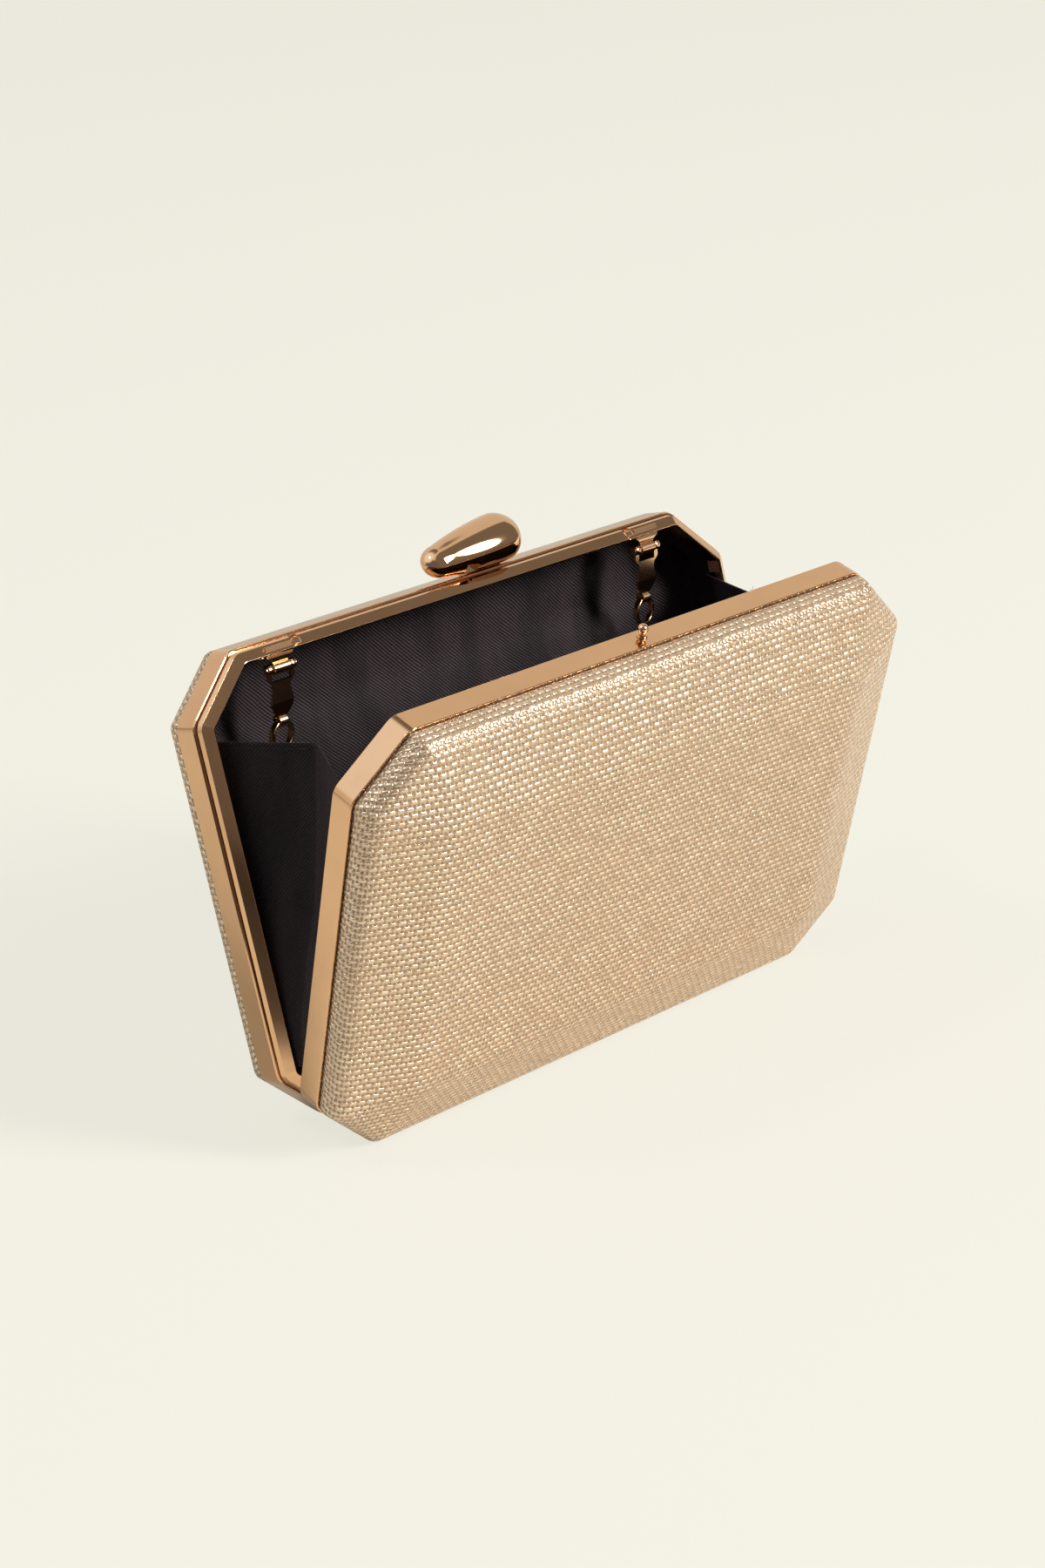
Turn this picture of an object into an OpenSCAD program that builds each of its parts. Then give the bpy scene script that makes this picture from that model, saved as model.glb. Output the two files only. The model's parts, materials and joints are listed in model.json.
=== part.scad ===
// Hard box clutch bag, standing open on its two leaning halves.
// Each half is drawn upright: x runs along the hinge, y is the distance out from the plane
// where the halves meet, and z is the height above the hinge. It is then leaned outwards.

/* [Case] */
// Width of the case across its frames
case_w = 190; // [172:1:210]
// Height of each frame above the hinge axis
case_h = 130; // [118:1:145]
// Leg of each cut corner
corner_cut = 16.2; // [15.5:0.1:20]
// Radius that eases each corner of the frame outline
case_r = 2.5; // [1.5:0.1:3.2]
// Angle between the two halves as the bag stands
open_angle = 30; // [22:1:32]

/* [Frames] */
// Depth of the metal band round each half
band_depth = 7.6; // [6.5:0.1:9]
// Sheet thickness of the back frame
back_sheet = 0.8; // [0.6:0.05:0.9]
// Sheet thickness of the front frame
front_sheet = 0.7; // [0.6:0.05:0.8]
// Gap between the two bands when the case is shut
mate_gap = 0.3; // [0.2:0.05:0.5]
// Reach of the back frame's lip past the meeting plane
lip_reach = 3.8; // [3.4:0.1:4.1]
// Width of the lip seen from the front
lip_w = 3.4; // [3.1:0.1:3.8]
// Gap between the lip and the band of the other half
lip_gap = 0.2; // [0.15:0.05:0.3]
// Gap between the lip and the bottom of its recess
floor_gap = 0.3; // [0.2:0.05:0.5]
// Depth of the rolled edge that turns back inside the front frame
front_roll = 2; // [1.5:0.1:2.5]
// Depth of the rolled edge behind the back lip's face
back_roll = 5.1; // [4.9:0.1:5.5]
// Distance of each chain notch in from the side of the frame
notch_side = 35.3; // [35:0.1:39]
// Width of a chain notch
notch_w = 2.4; // [1.8:0.1:3]
// Depth of a chain notch
notch_h = 1.2; // [0.8:0.1:1.6]

/* [Hinges] */
// Distance of each hinge's middle in from the side of the frame
hinge_side = 50; // [35:1:60]
// Length of each hinge
hinge_len = 24; // [16:1:32]
// Knuckles in each hinge
hinge_knuckles = 5; // [3:2:7]
// Outer radius of a knuckle
knuckle_r = 1.6; // [1.4:0.05:1.8]
// Radius of a hinge pin
hinge_pin_r = 0.75; // [0.5:0.05:0.9]
// Running clearance of a pin in its bore
pin_gap = 0.05; // [0.03:0.01:0.08]
// Gap around and beside a knuckle
knuckle_gap = 0.25; // [0.2:0.05:0.4]

/* [Covered shells] */
// Depth of each half to its face
face_depth = 21.8; // [19:0.1:26]
// Distance of the face edge inside the frame outline
face_set = 22.5; // [20:0.1:24]
// Depth at which the side wall turns into the bevel
wall_depth = 14.4; // [12.5:0.1:17]
// Distance of the wall's turn inside the frame outline
wall_set = 0.6; // [0.4:0.05:1]
// Distance of the cloth inside the outline within the band
cover_set = 0.95; // [0.9:0.05:1.1]
// Distance of the cloth inside the outline where it swells past the band
swell_set = 0.35; // [0.1:0.05:0.6]
// Depth past the band over which the cloth swells
swell_run = 1.6; // [1:0.1:2.5]
// Rounding run at the turn of the wall
wall_round = 2.2; // [1:0.1:3]
// Rounding run at the edge of the face
face_round = 4; // [2:0.5:6]
// Plan radius of the corners at the edge of the face
ridge_r = 4.6; // [3:0.1:5]
// Thickness of the woven cloth cover
cover_t = 0.7; // [0.5:0.05:0.8]
// Thickness of the moulded shell
shell_t = 1.2; // [0.9:0.05:1.3]
// Thickness of the lining
lining_t = 0.5; // [0.3:0.05:0.5]
// Glue gap between the layers
glue_gap = 0.05; // [0.02:0.01:0.06]
// Gap between the layers' edges and the sheet they meet
edge_gap = 0.15; // [0.05:0.05:0.3]

/* [Gussets] */
// Height of the gussets' hems along the frames
hem_z = 108.5; // [90:0.5:112]
// Height of the gussets' lower ends along the frames
gusset_low = 20; // [18.5:0.5:30]
// Inward fold of a gusset at its hem
fold_run = 12.4; // [8:0.2:16]
// Depth at which a gusset is glued into each half
gusset_d = 4; // [3:0.1:6]
// Thickness of the doubled gusset cloth
gusset_t = 0.5; // [0.4:0.05:0.7]
// Gap between a gusset and the frames
gusset_gap = 0.3; // [0.2:0.05:0.5]

/* [Clasp] */
// Place of the lever along the frame
clasp_x = 9; // [0:0.5:20]
// Length of the base plate
base_len = 12; // [10:0.5:14]
// Width of the base plate across the band
base_w = 4.4; // [4:0.1:5]
// Thickness of the base plate
base_t = 0.7; // [0.5:0.05:0.9]
// Thickness of each ear
ear_t = 1; // [0.7:0.05:1.2]
// Width of each ear across the band
ear_w = 2.8; // [2.4:0.1:3.2]
// Distance of the pivot out from the meeting plane
pivot_d = 3.6; // [3.4:0.1:4]
// Height of the pivot above the frame
pivot_h = 2; // [1.9:0.05:2.2]
// Radius of the clasp pin
clasp_pin_r = 0.58; // [0.45:0.01:0.65]
// Outer radius of the lever's barrel
barrel_r = 1.1; // [0.95:0.05:1.2]
// Thickness of the lever's arm
arm_t = 1.4; // [1:0.1:1.8]
// Height of the arm above the pivot
arm_h = 4.5; // [3.5:0.1:5]
// Play between the lever and the clasp parts beside it
clasp_play = 0.15; // [0.1:0.05:0.2]
// Length of the clasp spring
spring_len = 3; // [2:0.1:3.4]
// Radius of the pebble's wide end
wide_r = 7.1; // [6.6:0.1:7.6]
// Radius of the pebble's narrow end
narrow_r = 4.6; // [4:0.1:5.2]
// Distance between the centres of the pebble's two ends
egg_len = 22; // [18:0.5:25]
// Offset of the wide end's centre from the lever
wide_x = 6.5; // [5:0.5:8]
// Gap between the pebble and the top of the frame
pebble_gap = 0.3; // [0.2:0.05:0.5]
// Extra gap under the narrow end
narrow_lift = 0.7; // [0.3:0.1:1.2]
// Distance of the pebble's middle out from the meeting plane
pebble_d = 1.5; // [1.2:0.1:1.8]

/* [Catch stud] */
// Place of the stud along the frame
stud_x = 2; // [0:0.1:2.2]
// Radius of the ball
ball_r = 1.7; // [1.4:0.05:1.8]
// Height of the ball's middle above the frame
ball_h = 2; // [1.9:0.05:2.1]
// Radius of the neck
neck_r = 0.78; // [0.6:0.02:0.9]
// Radius of the foot
foot_r = 1.3; // [1.1:0.05:1.5]
// Thickness of the foot
foot_t = 0.5; // [0.3:0.05:0.6]
// Distance of the stud out from the meeting plane
stud_d = 3.2; // [2.9:0.1:3.6]
// Gap between the ball and its slot in the pebble
slot_gap = 0.4; // [0.3:0.05:0.5]

/* [Chain lugs] */
// Distance of each lug in from the side of the frame
lug_side = 29.2; // [25:0.1:29.5]
// Distance of the lug pin below the top of the frame
lug_drop = 8; // [7.6:0.1:9]
// Distance of the lug pin in front of the meeting plane
lug_fore = 1.3; // [1.1:0.05:1.5]
// Width of the clip behind the lip
clip_w = 9; // [7:0.2:10]
// Thickness of the clip
clip_t = 0.7; // [0.5:0.05:0.8]
// Width of the clip's knuckle
lug_w = 5.4; // [4.4:0.1:6]
// Outer radius of the clip's knuckle
lug_r = 1.7; // [1.5:0.05:1.8]
// Radius of the lug pin
lug_pin_r = 0.7; // [0.5:0.05:0.8]
// Radius of the pin's heads
head_r = 1; // [0.9:0.05:1.2]
// Thickness of the pin's heads
head_t = 0.5; // [0.3:0.05:0.7]

/* [Chain tabs] */
// Width of a tab at its ears
tab_w = 8.6; // [8:0.1:9]
// Thickness of a tab
tab_t = 0.8; // [0.6:0.05:1]
// Outer radius of a tab's ears
tab_ear_r = 1.45; // [1.3:0.05:1.6]
// Gap between the clip's knuckle and each ear
ear_gap = 0.3; // [0.2:0.05:0.4]
// Length of a tab from its pin to its bend
tab_len = 9.6; // [9:0.1:11]
// Length of a tab's tail from the bend to the eye's middle
tail_len = 6.2; // [5.5:0.1:7]
// Backward bend of the tail
tail_bend = 15; // [5:1:20]
// Length of the window around the clip's knuckle
window_len = 3.6; // [3:0.1:4.2]
// Inner radius of the eye
eye_r = 1.3; // [1.2:0.05:1.5]
// Wall of the eye
eye_t = 0.5; // [0.4:0.05:0.6]
// Width of the eye
eye_w = 2.4; // [1.8:0.1:2.8]
// Outer radius of a chain ring
ring_r = 4.3; // [3.9:0.1:5]
// Thickness of a chain ring
ring_t = 0.7; // [0.5:0.05:0.8]
// Width of a chain ring's band
ring_w = 1.9; // [1.4:0.1:2]

/* [Hidden] */

rose = [0.90, 0.66, 0.50];
cloth = [0.83, 0.73, 0.52];
black = [0.12, 0.11, 0.11];
board = [0.35, 0.33, 0.30];
steel = [0.70, 0.70, 0.72];

lean = open_angle / 2;
overrun = case_r;
turn_step = 45;
turn_steps = 3;
half_turn = turn_step / 2;
round_steps = 4;

// Places of the sheet edges, measured in from the outline
lip_out = front_sheet + lip_gap;
lip_in = lip_out + lip_w;
mate_set = mate_gap / 2;
floor_d = lip_reach + floor_gap;
least_r = glue_gap;

// Leg of the cut corner on an outline moved inwards
function leg(inset) = corner_cut - inset * (2 - sqrt(2));

// The eight corners of the outline moved inwards, from the right side's top corner
function eight(inset) = let (
        w = case_w / 2 - inset,
        top = case_h - inset,
        cut = leg(inset)
    ) [
        [w, top - cut], [w - cut, top], [cut - w, top], [-w, top - cut],
        [-w, inset + cut], [cut - w, inset], [w - cut, inset], [w, inset + cut]
    ];

// The outline moved inwards, with each corner rounded by an arc
function rounded_eight(inset, r) = let (middles = eight(inset + r)) [
        for (k = [0:7], s = [0:turn_steps])
            let (a = turn_step * (k + s / turn_steps))
            middles[k] + r * [cos(a), sin(a)]
    ];

function frame_outline(inset) =
    case_r > inset + least_r ? rounded_eight(inset, case_r - inset) : eight(inset);

// A line of corners moved to its inner side by a depth
function unit(v) = v / norm(v);
function inner_side(v) = [-v[1], v[0]];
function moved_in(line, depth) = [
        for (i = [0:len(line) - 1])
            let (
                a = inner_side(unit(line[max(i, 1)] - line[max(i, 1) - 1])),
                last = len(line) - 2,
                b = inner_side(unit(line[min(i, last) + 1] - line[min(i, last)]))
            )
            line[i] + depth * (a + b) / (1 + a * b)
    ];

// A corner eased by a parabola that starts and ends one run away from it
function eased(before, corner, after, run) = let (
        a = corner + run * unit(before - corner),
        b = corner + run * unit(after - corner)
    ) [
        for (s = [0:round_steps])
            let (u = s / round_steps)
            (1 - u) * (1 - u) * a + 2 * u * (1 - u) * corner + u * u * b
    ];

// Section of one layer of the covered shell, as depths and distances inside the outline
function layer_line(edge, depth) = let (
        line = moved_in([
            [edge, cover_set],
            [band_depth, cover_set],
            [band_depth + swell_run, swell_set],
            [wall_depth, wall_set],
            [face_depth, face_set],
            [face_depth, face_set + face_round]
        ], depth)
    ) concat(
        [line[0], line[1], line[2]],
        eased(line[2], line[3], line[4], max(wall_round - depth / 2, wall_round / 4)),
        eased(line[3], line[4], line[5], face_round - depth / 4)
    );

// Plan radius of a layer's corners, which grows from the band to the edge of the face
function plan_r(inset, depth) = let (
        grown = (inset - cover_set) / (face_set - cover_set),
        free = case_r + (ridge_r - case_r) * max(0, min(1, grown)),
        widest = leg(inset) / 2 / tan(half_turn)
    )
    max(least_r * 2, min(free, widest) - depth);

// Depths in the layers, and the places of their edges inside the bands
shell_in = cover_t + glue_gap;
lining_in = shell_in + shell_t + glue_gap;
back_edge = knuckle_r + knuckle_gap;
front_edge = floor_d + front_sheet + edge_gap;

// The bag stands on the lowest line of its cloth
hinge_z = -min([for (p = layer_line(back_edge, 0)) p[1] * cos(lean) - p[0] * sin(lean)]);

notch_x = case_w / 2 - notch_side;
hinge_x = case_w / 2 - hinge_side;
lug_x = case_w / 2 - lug_side;
knuckle_pitch = hinge_len / hinge_knuckles;
pivot_z = case_h + pivot_h;
lug_z = case_h - lug_drop;

module back_place() {
    translate([0, 0, hinge_z])
        rotate([-lean, 0, 0])
            children();
}

module front_place() {
    mirror([0, 1, 0])
        back_place()
            children();
}

// Both sides of the bag carry the same fitting
module at_lug(side) {
    translate([side * lug_x, -lug_fore, lug_z])
        children();
}

// A fitting that hangs plumb from the lug pin
module hung_from_lug(side) {
    translate([
        side * lug_x,
        lug_z * sin(lean) - lug_fore * cos(lean),
        hinge_z + lug_z * cos(lean) + lug_fore * sin(lean)
    ])
        children();
}

module along_x(r, length) {
    rotate([0, 90, 0])
        cylinder(r = r, h = length, center = true, $fn = 48);
}

// A strip of sheet between two insets, from one depth to another
module sheet_ring(outer, inner, from, to) {
    translate([0, to, 0])
        rotate([90, 0, 0])
            linear_extrude(to - from)
                difference() {
                    polygon(frame_outline(outer));
                    polygon(frame_outline(inner));
                }
}

// Every second knuckle of both hinges, starting with the first or the second
module knuckles(first, r, extra) {
    for (side = [-1, 1], k = [first:2:hinge_knuckles - 1])
        translate([side * hinge_x + (k + 1 / 2 - hinge_knuckles / 2) * knuckle_pitch, 0, 0])
            along_x(r, knuckle_pitch + extra);
}

module hinge_bores() {
    for (side = [-1, 1])
        translate([side * hinge_x, 0, 0])
            along_x(hinge_pin_r + pin_gap, hinge_len + overrun);
}

module back_frame() {
    color(rose)
        back_place()
            difference() {
                union() {
                    sheet_ring(0, back_sheet, mate_set, band_depth);
                    sheet_ring(0, lip_out + back_sheet, mate_set, mate_set + back_sheet);
                    sheet_ring(lip_out, lip_out + back_sheet, -lip_reach, mate_set + back_sheet);
                    sheet_ring(lip_out, lip_in, -lip_reach, back_sheet - lip_reach);
                    sheet_ring(lip_in - back_sheet, lip_in, -lip_reach,
                        back_sheet + back_roll - lip_reach);
                    knuckles(0, knuckle_r, -knuckle_gap);
                }
                knuckles(1, knuckle_r + knuckle_gap, knuckle_gap);
                hinge_bores();
                chain_notches();
                clip_gaps();
            }
}

module chain_notches() {
    for (side = [-1, 1])
        translate([
            side * notch_x - notch_w / 2,
            -lip_reach - overrun,
            case_h - lip_out - notch_h
        ])
            cube([notch_w, overrun + back_sheet + notch_h / 2, notch_h + overrun]);
}

// Room for each lug clip to pass the rolled edge behind the lip
module clip_gaps() {
    for (side = [-1, 1])
        translate([
            side * lug_x - clip_w / 2 - lip_gap,
            back_sheet - lip_reach,
            case_h - lip_in - overrun
        ])
            cube([clip_w + 2 * lip_gap, back_roll + overrun, overrun + back_sheet + edge_gap]);
}

module front_frame() {
    color(rose)
        front_place()
            difference() {
                union() {
                    sheet_ring(0, front_sheet, mate_set, band_depth);
                    sheet_ring(0, lip_in, floor_d, floor_d + front_sheet);
                    sheet_ring(lip_in - front_sheet, lip_in, floor_d, floor_d + front_roll);
                    knuckles(1, knuckle_r, -knuckle_gap);
                }
                knuckles(0, knuckle_r + knuckle_gap, knuckle_gap);
                hinge_bores();
            }
}

module hinge_pin(side) {
    color(steel)
        back_place()
            translate([side * hinge_x, 0, 0])
                along_x(hinge_pin_r, hinge_len - knuckle_gap);
}

// A cup between two depths in the layers, from its edge in the band round to the face
module cup(edge, from, to) {
    outer = layer_line(edge, from);
    inner = layer_line(edge, to);
    n = 8 * (turn_steps + 1);
    rings = len(outer);
    points = [
        for (side = [0, 1], i = [0:rings - 1])
            let (
                p = side == 0 ? outer[i] : inner[i],
                depth = side == 0 ? from : to,
                ring = rounded_eight(p[1], plan_r(p[1] - depth, depth))
            )
            for (q = ring) [q[0], p[0], q[1]]
    ];
    inside = n * rings;
    walls = [
        for (i = [0:rings - 2], j = [0:n - 1])
            let (
                a = i * n + j,
                b = i * n + (j + 1) % n,
                c = b + n,
                d = a + n
            )
            each [
                [a, b, c], [a, c, d],
                [inside + a, inside + c, inside + b], [inside + a, inside + d, inside + c]
            ]
    ];
    rim = [
        for (j = [0:n - 1])
            let (k = (j + 1) % n)
            each [[j, inside + j, inside + k], [j, inside + k, k]]
    ];
    faces = [
        [for (j = [0:n - 1]) inside - n + j],
        [for (j = [n - 1:-1:0]) 2 * inside - n + j]
    ];
    polyhedron(points, concat(walls, rim, faces));
}

module back_cover() {
    color(cloth)
        back_place()
            cup(back_edge, 0, cover_t);
}

module back_shell() {
    color(board)
        back_place()
            cup(back_edge, shell_in, shell_in + shell_t);
}

module back_lining() {
    color(black)
        back_place()
            cup(back_edge, lining_in, lining_in + lining_t);
}

module front_cover() {
    color(cloth)
        front_place()
            cup(front_edge, 0, cover_t);
}

module front_shell() {
    color(board)
        front_place()
            cup(front_edge, shell_in, shell_in + shell_t);
}

module front_lining() {
    color(black)
        front_place()
            cup(front_edge, lining_in, lining_in + lining_t);
}

// A gusset folds inwards most at its hem, as shares of its height and of its fold
fold_shares = [[0, 0], [0.15, 0.08], [0.34, 0.34], [0.5, 0.64], [0.7, 0.82], [1, 1]];
// The triangles that close one end of a gusset, between the six corners of a layer
end_faces = [[0, 1, 4], [0, 4, 5], [1, 2, 3], [1, 3, 4]];

module gusset(side) {
    edge_x = case_w / 2 - lip_in - gusset_gap;
    points = [
        for (share = fold_shares)
            let (
                z = gusset_low + share[0] * (hem_z - gusset_low),
                y = z * sin(lean) + gusset_d * cos(lean),
                edge_z = z * cos(lean) - gusset_d * sin(lean),
                fold_x = edge_x - share[1] * fold_run
            )
            each [
                [edge_x, -y, edge_z], [fold_x, 0, z], [edge_x, y, edge_z],
                [edge_x - gusset_t, y, edge_z], [fold_x - gusset_t, 0, z],
                [edge_x - gusset_t, -y, edge_z]
            ]
    ];
    top = 6 * (len(fold_shares) - 1);
    walls = [
        for (i = [0:len(fold_shares) - 2], j = [0:5])
            let (a = 6 * i + j, b = 6 * i + (j + 1) % 6)
            each [[a, a + 6, b + 6], [a, b + 6, b]]
    ];
    ends = concat(end_faces, [for (f = end_faces) [top + f[2], top + f[1], top + f[0]]]);
    color(black)
        translate([0, 0, hinge_z])
            mirror([side > 0 ? 0 : 1, 0, 0])
                polyhedron(points, concat(walls, ends));
}

module clasp_base() {
    color(rose)
        back_place()
            difference() {
                union() {
                    translate([clasp_x - base_len / 2, pivot_d - base_w / 2, case_h])
                        cube([base_len, base_w, base_t]);
                    for (side = [-1, 1])
                        translate([
                            clasp_x + side * (base_len - ear_t) / 2 - ear_t / 2,
                            pivot_d - ear_w / 2,
                            case_h
                        ])
                            cube([ear_t, ear_w, pivot_h]);
                    for (side = [-1, 1])
                        translate([clasp_x + side * (base_len - ear_t) / 2, pivot_d, pivot_z])
                            along_x(ear_w / 2, ear_t);
                }
                translate([clasp_x, pivot_d, pivot_z])
                    along_x(clasp_pin_r + pin_gap / 2, base_len + overrun);
            }
}

module clasp_pin() {
    color(steel)
        back_place()
            translate([clasp_x, pivot_d, pivot_z])
                along_x(clasp_pin_r, base_len);
}

// The spring lies beside the lever, with one leg on the base plate
barrel_len = base_len - 2 * ear_t - 3 * clasp_play - spring_len;
barrel_x = clasp_x - base_len / 2 + ear_t + clasp_play + barrel_len / 2;
spring_x = clasp_x + base_len / 2 - ear_t - clasp_play - spring_len / 2;
spring_bore = clasp_pin_r + clasp_play;
spring_wire = barrel_r - spring_bore;

module clasp_spring() {
    color(steel)
        back_place()
            translate([spring_x, pivot_d, pivot_z])
                difference() {
                    union() {
                        along_x(barrel_r, spring_len);
                        translate([-spring_len / 2, spring_bore, base_t - pivot_h])
                            cube([spring_wire, spring_wire, pivot_h - base_t]);
                    }
                    along_x(spring_bore, spring_len + overrun);
                }
}

module clasp_lever() {
    color(rose)
        back_place()
            translate([barrel_x, pivot_d, pivot_z])
                difference() {
                    union() {
                        along_x(barrel_r, barrel_len);
                        translate([-barrel_len / 2, -arm_t / 2, 0])
                            cube([barrel_len, arm_t, arm_h]);
                    }
                    along_x(clasp_pin_r + pin_gap, barrel_len + overrun);
                }
}

// Half outline of an egg about its long axis: two arcs and the line that touches both
egg_steps = 8;
egg_lean = asin((wide_r - narrow_r) / egg_len);
function egg_line() = concat(
        [for (s = [0:egg_steps])
            let (a = -90 + s / egg_steps * (90 + egg_lean))
            [s == 0 ? 0 : narrow_r * cos(a), narrow_r * sin(a)]],
        [for (s = [0:egg_steps])
            let (a = egg_lean + s / egg_steps * (90 - egg_lean))
            [s == egg_steps ? 0 : wide_r * cos(a), egg_len + wide_r * sin(a)]]
    );

egg_rise = wide_r - narrow_r - narrow_lift;
egg_run = sqrt(egg_len * egg_len - egg_rise * egg_rise);

module egg() {
    translate([
        clasp_x + wide_x - egg_run,
        pebble_d,
        case_h + pebble_gap + narrow_lift + narrow_r
    ])
        rotate([0, atan2(egg_run, egg_rise), 0])
            rotate_extrude($fn = 64)
                polygon(egg_line());
}

// Swing room round the ears and the base plate, kept about the pivot
swing_r = norm([ear_w / 2, ear_w / 2]);
hollow_h = max(ear_w / 2, barrel_r) + knuckle_gap + slot_gap;
slot_r = ball_r + slot_gap;

module clasp_pebble() {
    color(rose)
        back_place()
            difference() {
                egg();
                translate([clasp_x, pivot_d, 0]) {
                    translate([-base_len / 2 - slot_gap, -swing_r, case_h])
                        cube([base_len + 2 * slot_gap, 2 * swing_r, pivot_h + hollow_h]);
                    translate([
                        -base_len / 2 - slot_gap,
                        -base_w / 2 - slot_gap,
                        case_h
                    ])
                        cube([base_len + 2 * slot_gap, base_w + 2 * slot_gap, 2 * base_t]);
                }
                translate([
                    barrel_x - barrel_len / 2 - glue_gap,
                    pivot_d - arm_t / 2 - glue_gap,
                    pivot_z
                ])
                    cube([barrel_len + 2 * glue_gap, arm_t + 2 * glue_gap, arm_h + glue_gap]);
                ball_slot();
            }
}

// The slot takes the ball from the front and is open below
module ball_slot() {
    slot_end = slot_gap + ball_r - stud_d;
    translate([stud_x, slot_end, case_h + ball_h]) {
        rotate([90, 0, 0])
            cylinder(r = slot_r, h = 2 * wide_r, $fn = 48);
        translate([-slot_r, -2 * wide_r, -2 * ball_h])
            cube([2 * slot_r, 2 * wide_r, 2 * ball_h]);
    }
}

module catch_stud() {
    color(rose)
        front_place()
            translate([stud_x, stud_d, case_h])
                union() {
                    cylinder(r = foot_r, h = foot_t, $fn = 48);
                    cylinder(r = neck_r, h = ball_h, $fn = 48);
                    translate([0, 0, ball_h])
                        sphere(r = ball_r, $fn = 64);
                }
}

clip_back = lug_fore + back_sheet - lip_reach + glue_gap;

module lug_clip(side) {
    color(rose)
        back_place()
            at_lug(side)
                difference() {
                    union() {
                        translate([-clip_w / 2, clip_back, lug_r + edge_gap])
                            cube([
                                clip_w,
                                clip_t,
                                lug_drop - lip_out - back_sheet - glue_gap - lug_r - edge_gap
                            ]);
                        translate([-lug_w / 2, clip_back, 0])
                            cube([lug_w, clip_t, lug_r + 2 * edge_gap]);
                        along_x(lug_r, lug_w);
                    }
                    along_x(lug_pin_r + pin_gap / 2, lug_w + overrun);
                }
}

module lug_pin(side) {
    reach = tab_w / 2 + pin_gap;
    color(steel)
        back_place()
            at_lug(side) {
                along_x(lug_pin_r, 2 * reach + head_t);
                for (end = [-1, 1])
                    translate([end * (reach + head_t / 2), 0, 0])
                        along_x(head_r, head_t);
            }
}

// Half width of a tab down its plate, as shares of its length and of its width
tab_shares = [
    [0, 0.5], [0.3, 0.5], [0.36, 0.47], [0.46, 0.36], [0.54, 0.325],
    [0.64, 0.33], [0.78, 0.365], [0.92, 0.4], [1, 0.405]
];
// The same down its tail
tail_shares = [[0, 0.405], [0.2, 0.39], [0.45, 0.32], [0.65, 0.22], [0.85, 0.15]];

module strip(shares, length) {
    translate([0, tab_t / 2, 0])
        rotate([90, 0, 0])
            linear_extrude(tab_t)
                polygon(concat(
                    [for (s = shares) [s[1] * tab_w, -s[0] * length]],
                    [for (i = [len(shares) - 1:-1:0])
                        [-shares[i][1] * tab_w, -shares[i][0] * length]]
                ));
}

window_w = lug_w + ear_gap;

module chain_tab(side) {
    color(rose)
        hung_from_lug(side)
            difference() {
                union() {
                    strip(tab_shares, tab_len);
                    for (end = [-1, 1])
                        translate([end * (tab_w + lug_w + 2 * ear_gap) / 4, 0, 0])
                            along_x(tab_ear_r, (tab_w - lug_w) / 2 - ear_gap);
                    translate([0, 0, -tab_len])
                        rotate([tail_bend, 0, 0]) {
                            strip(tail_shares, tail_len);
                            along_x(tab_t / 2, 2 * tail_shares[0][1] * tab_w);
                            translate([0, 0, -tail_len])
                                along_x(eye_r + eye_t, eye_w);
                        }
                }
                translate([-window_w / 2 - ear_gap / 2, -tab_ear_r, -window_len])
                    cube([window_w + ear_gap, 2 * tab_ear_r, 2 * window_len]);
                along_x(lug_pin_r + pin_gap, tab_w + overrun);
                translate([0, 0, -tab_len])
                    rotate([tail_bend, 0, 0])
                        translate([0, 0, -tail_len])
                            along_x(eye_r, eye_w + overrun);
            }
}

// The ring hangs plumb from the eye
eye_y = tail_len * sin(tail_bend);
eye_z = -tab_len - tail_len * cos(tail_bend);

module chain_ring(side) {
    color(rose)
        hung_from_lug(side)
            translate([0, eye_y, eye_z - ring_r + ring_t / 2])
                rotate([90, 0, 0])
                    difference() {
                        cylinder(r = ring_r, h = ring_w, center = true, $fn = 64);
                        cylinder(r = ring_r - ring_t, h = ring_w + overrun, center = true,
                            $fn = 64);
                    }
}

back_frame();
back_shell();
back_cover();
back_lining();
hinge_pin(-1);  // left_hinge_pin
hinge_pin(1);  // right_hinge_pin
clasp_base();
clasp_pin();
clasp_spring();
lug_clip(-1);  // left_lug_clip
lug_clip(1);  // right_lug_clip
lug_pin(-1);  // left_lug_pin
lug_pin(1);  // right_lug_pin
gusset(-1);  // left_gusset
gusset(1);  // right_gusset
front_frame();
front_shell();
front_cover();
front_lining();
catch_stud();
clasp_pebble();
clasp_lever();
chain_tab(-1);  // left_chain_tab
chain_tab(1);  // right_chain_tab
chain_ring(-1);  // left_chain_ring
chain_ring(1);  // right_chain_ring
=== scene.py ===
"""Box clutch bag, standing open on its two halves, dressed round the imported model."""

import json
import math
import random

import bmesh
import bpy
import numpy as np
from mathutils import Matrix, Vector

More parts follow.
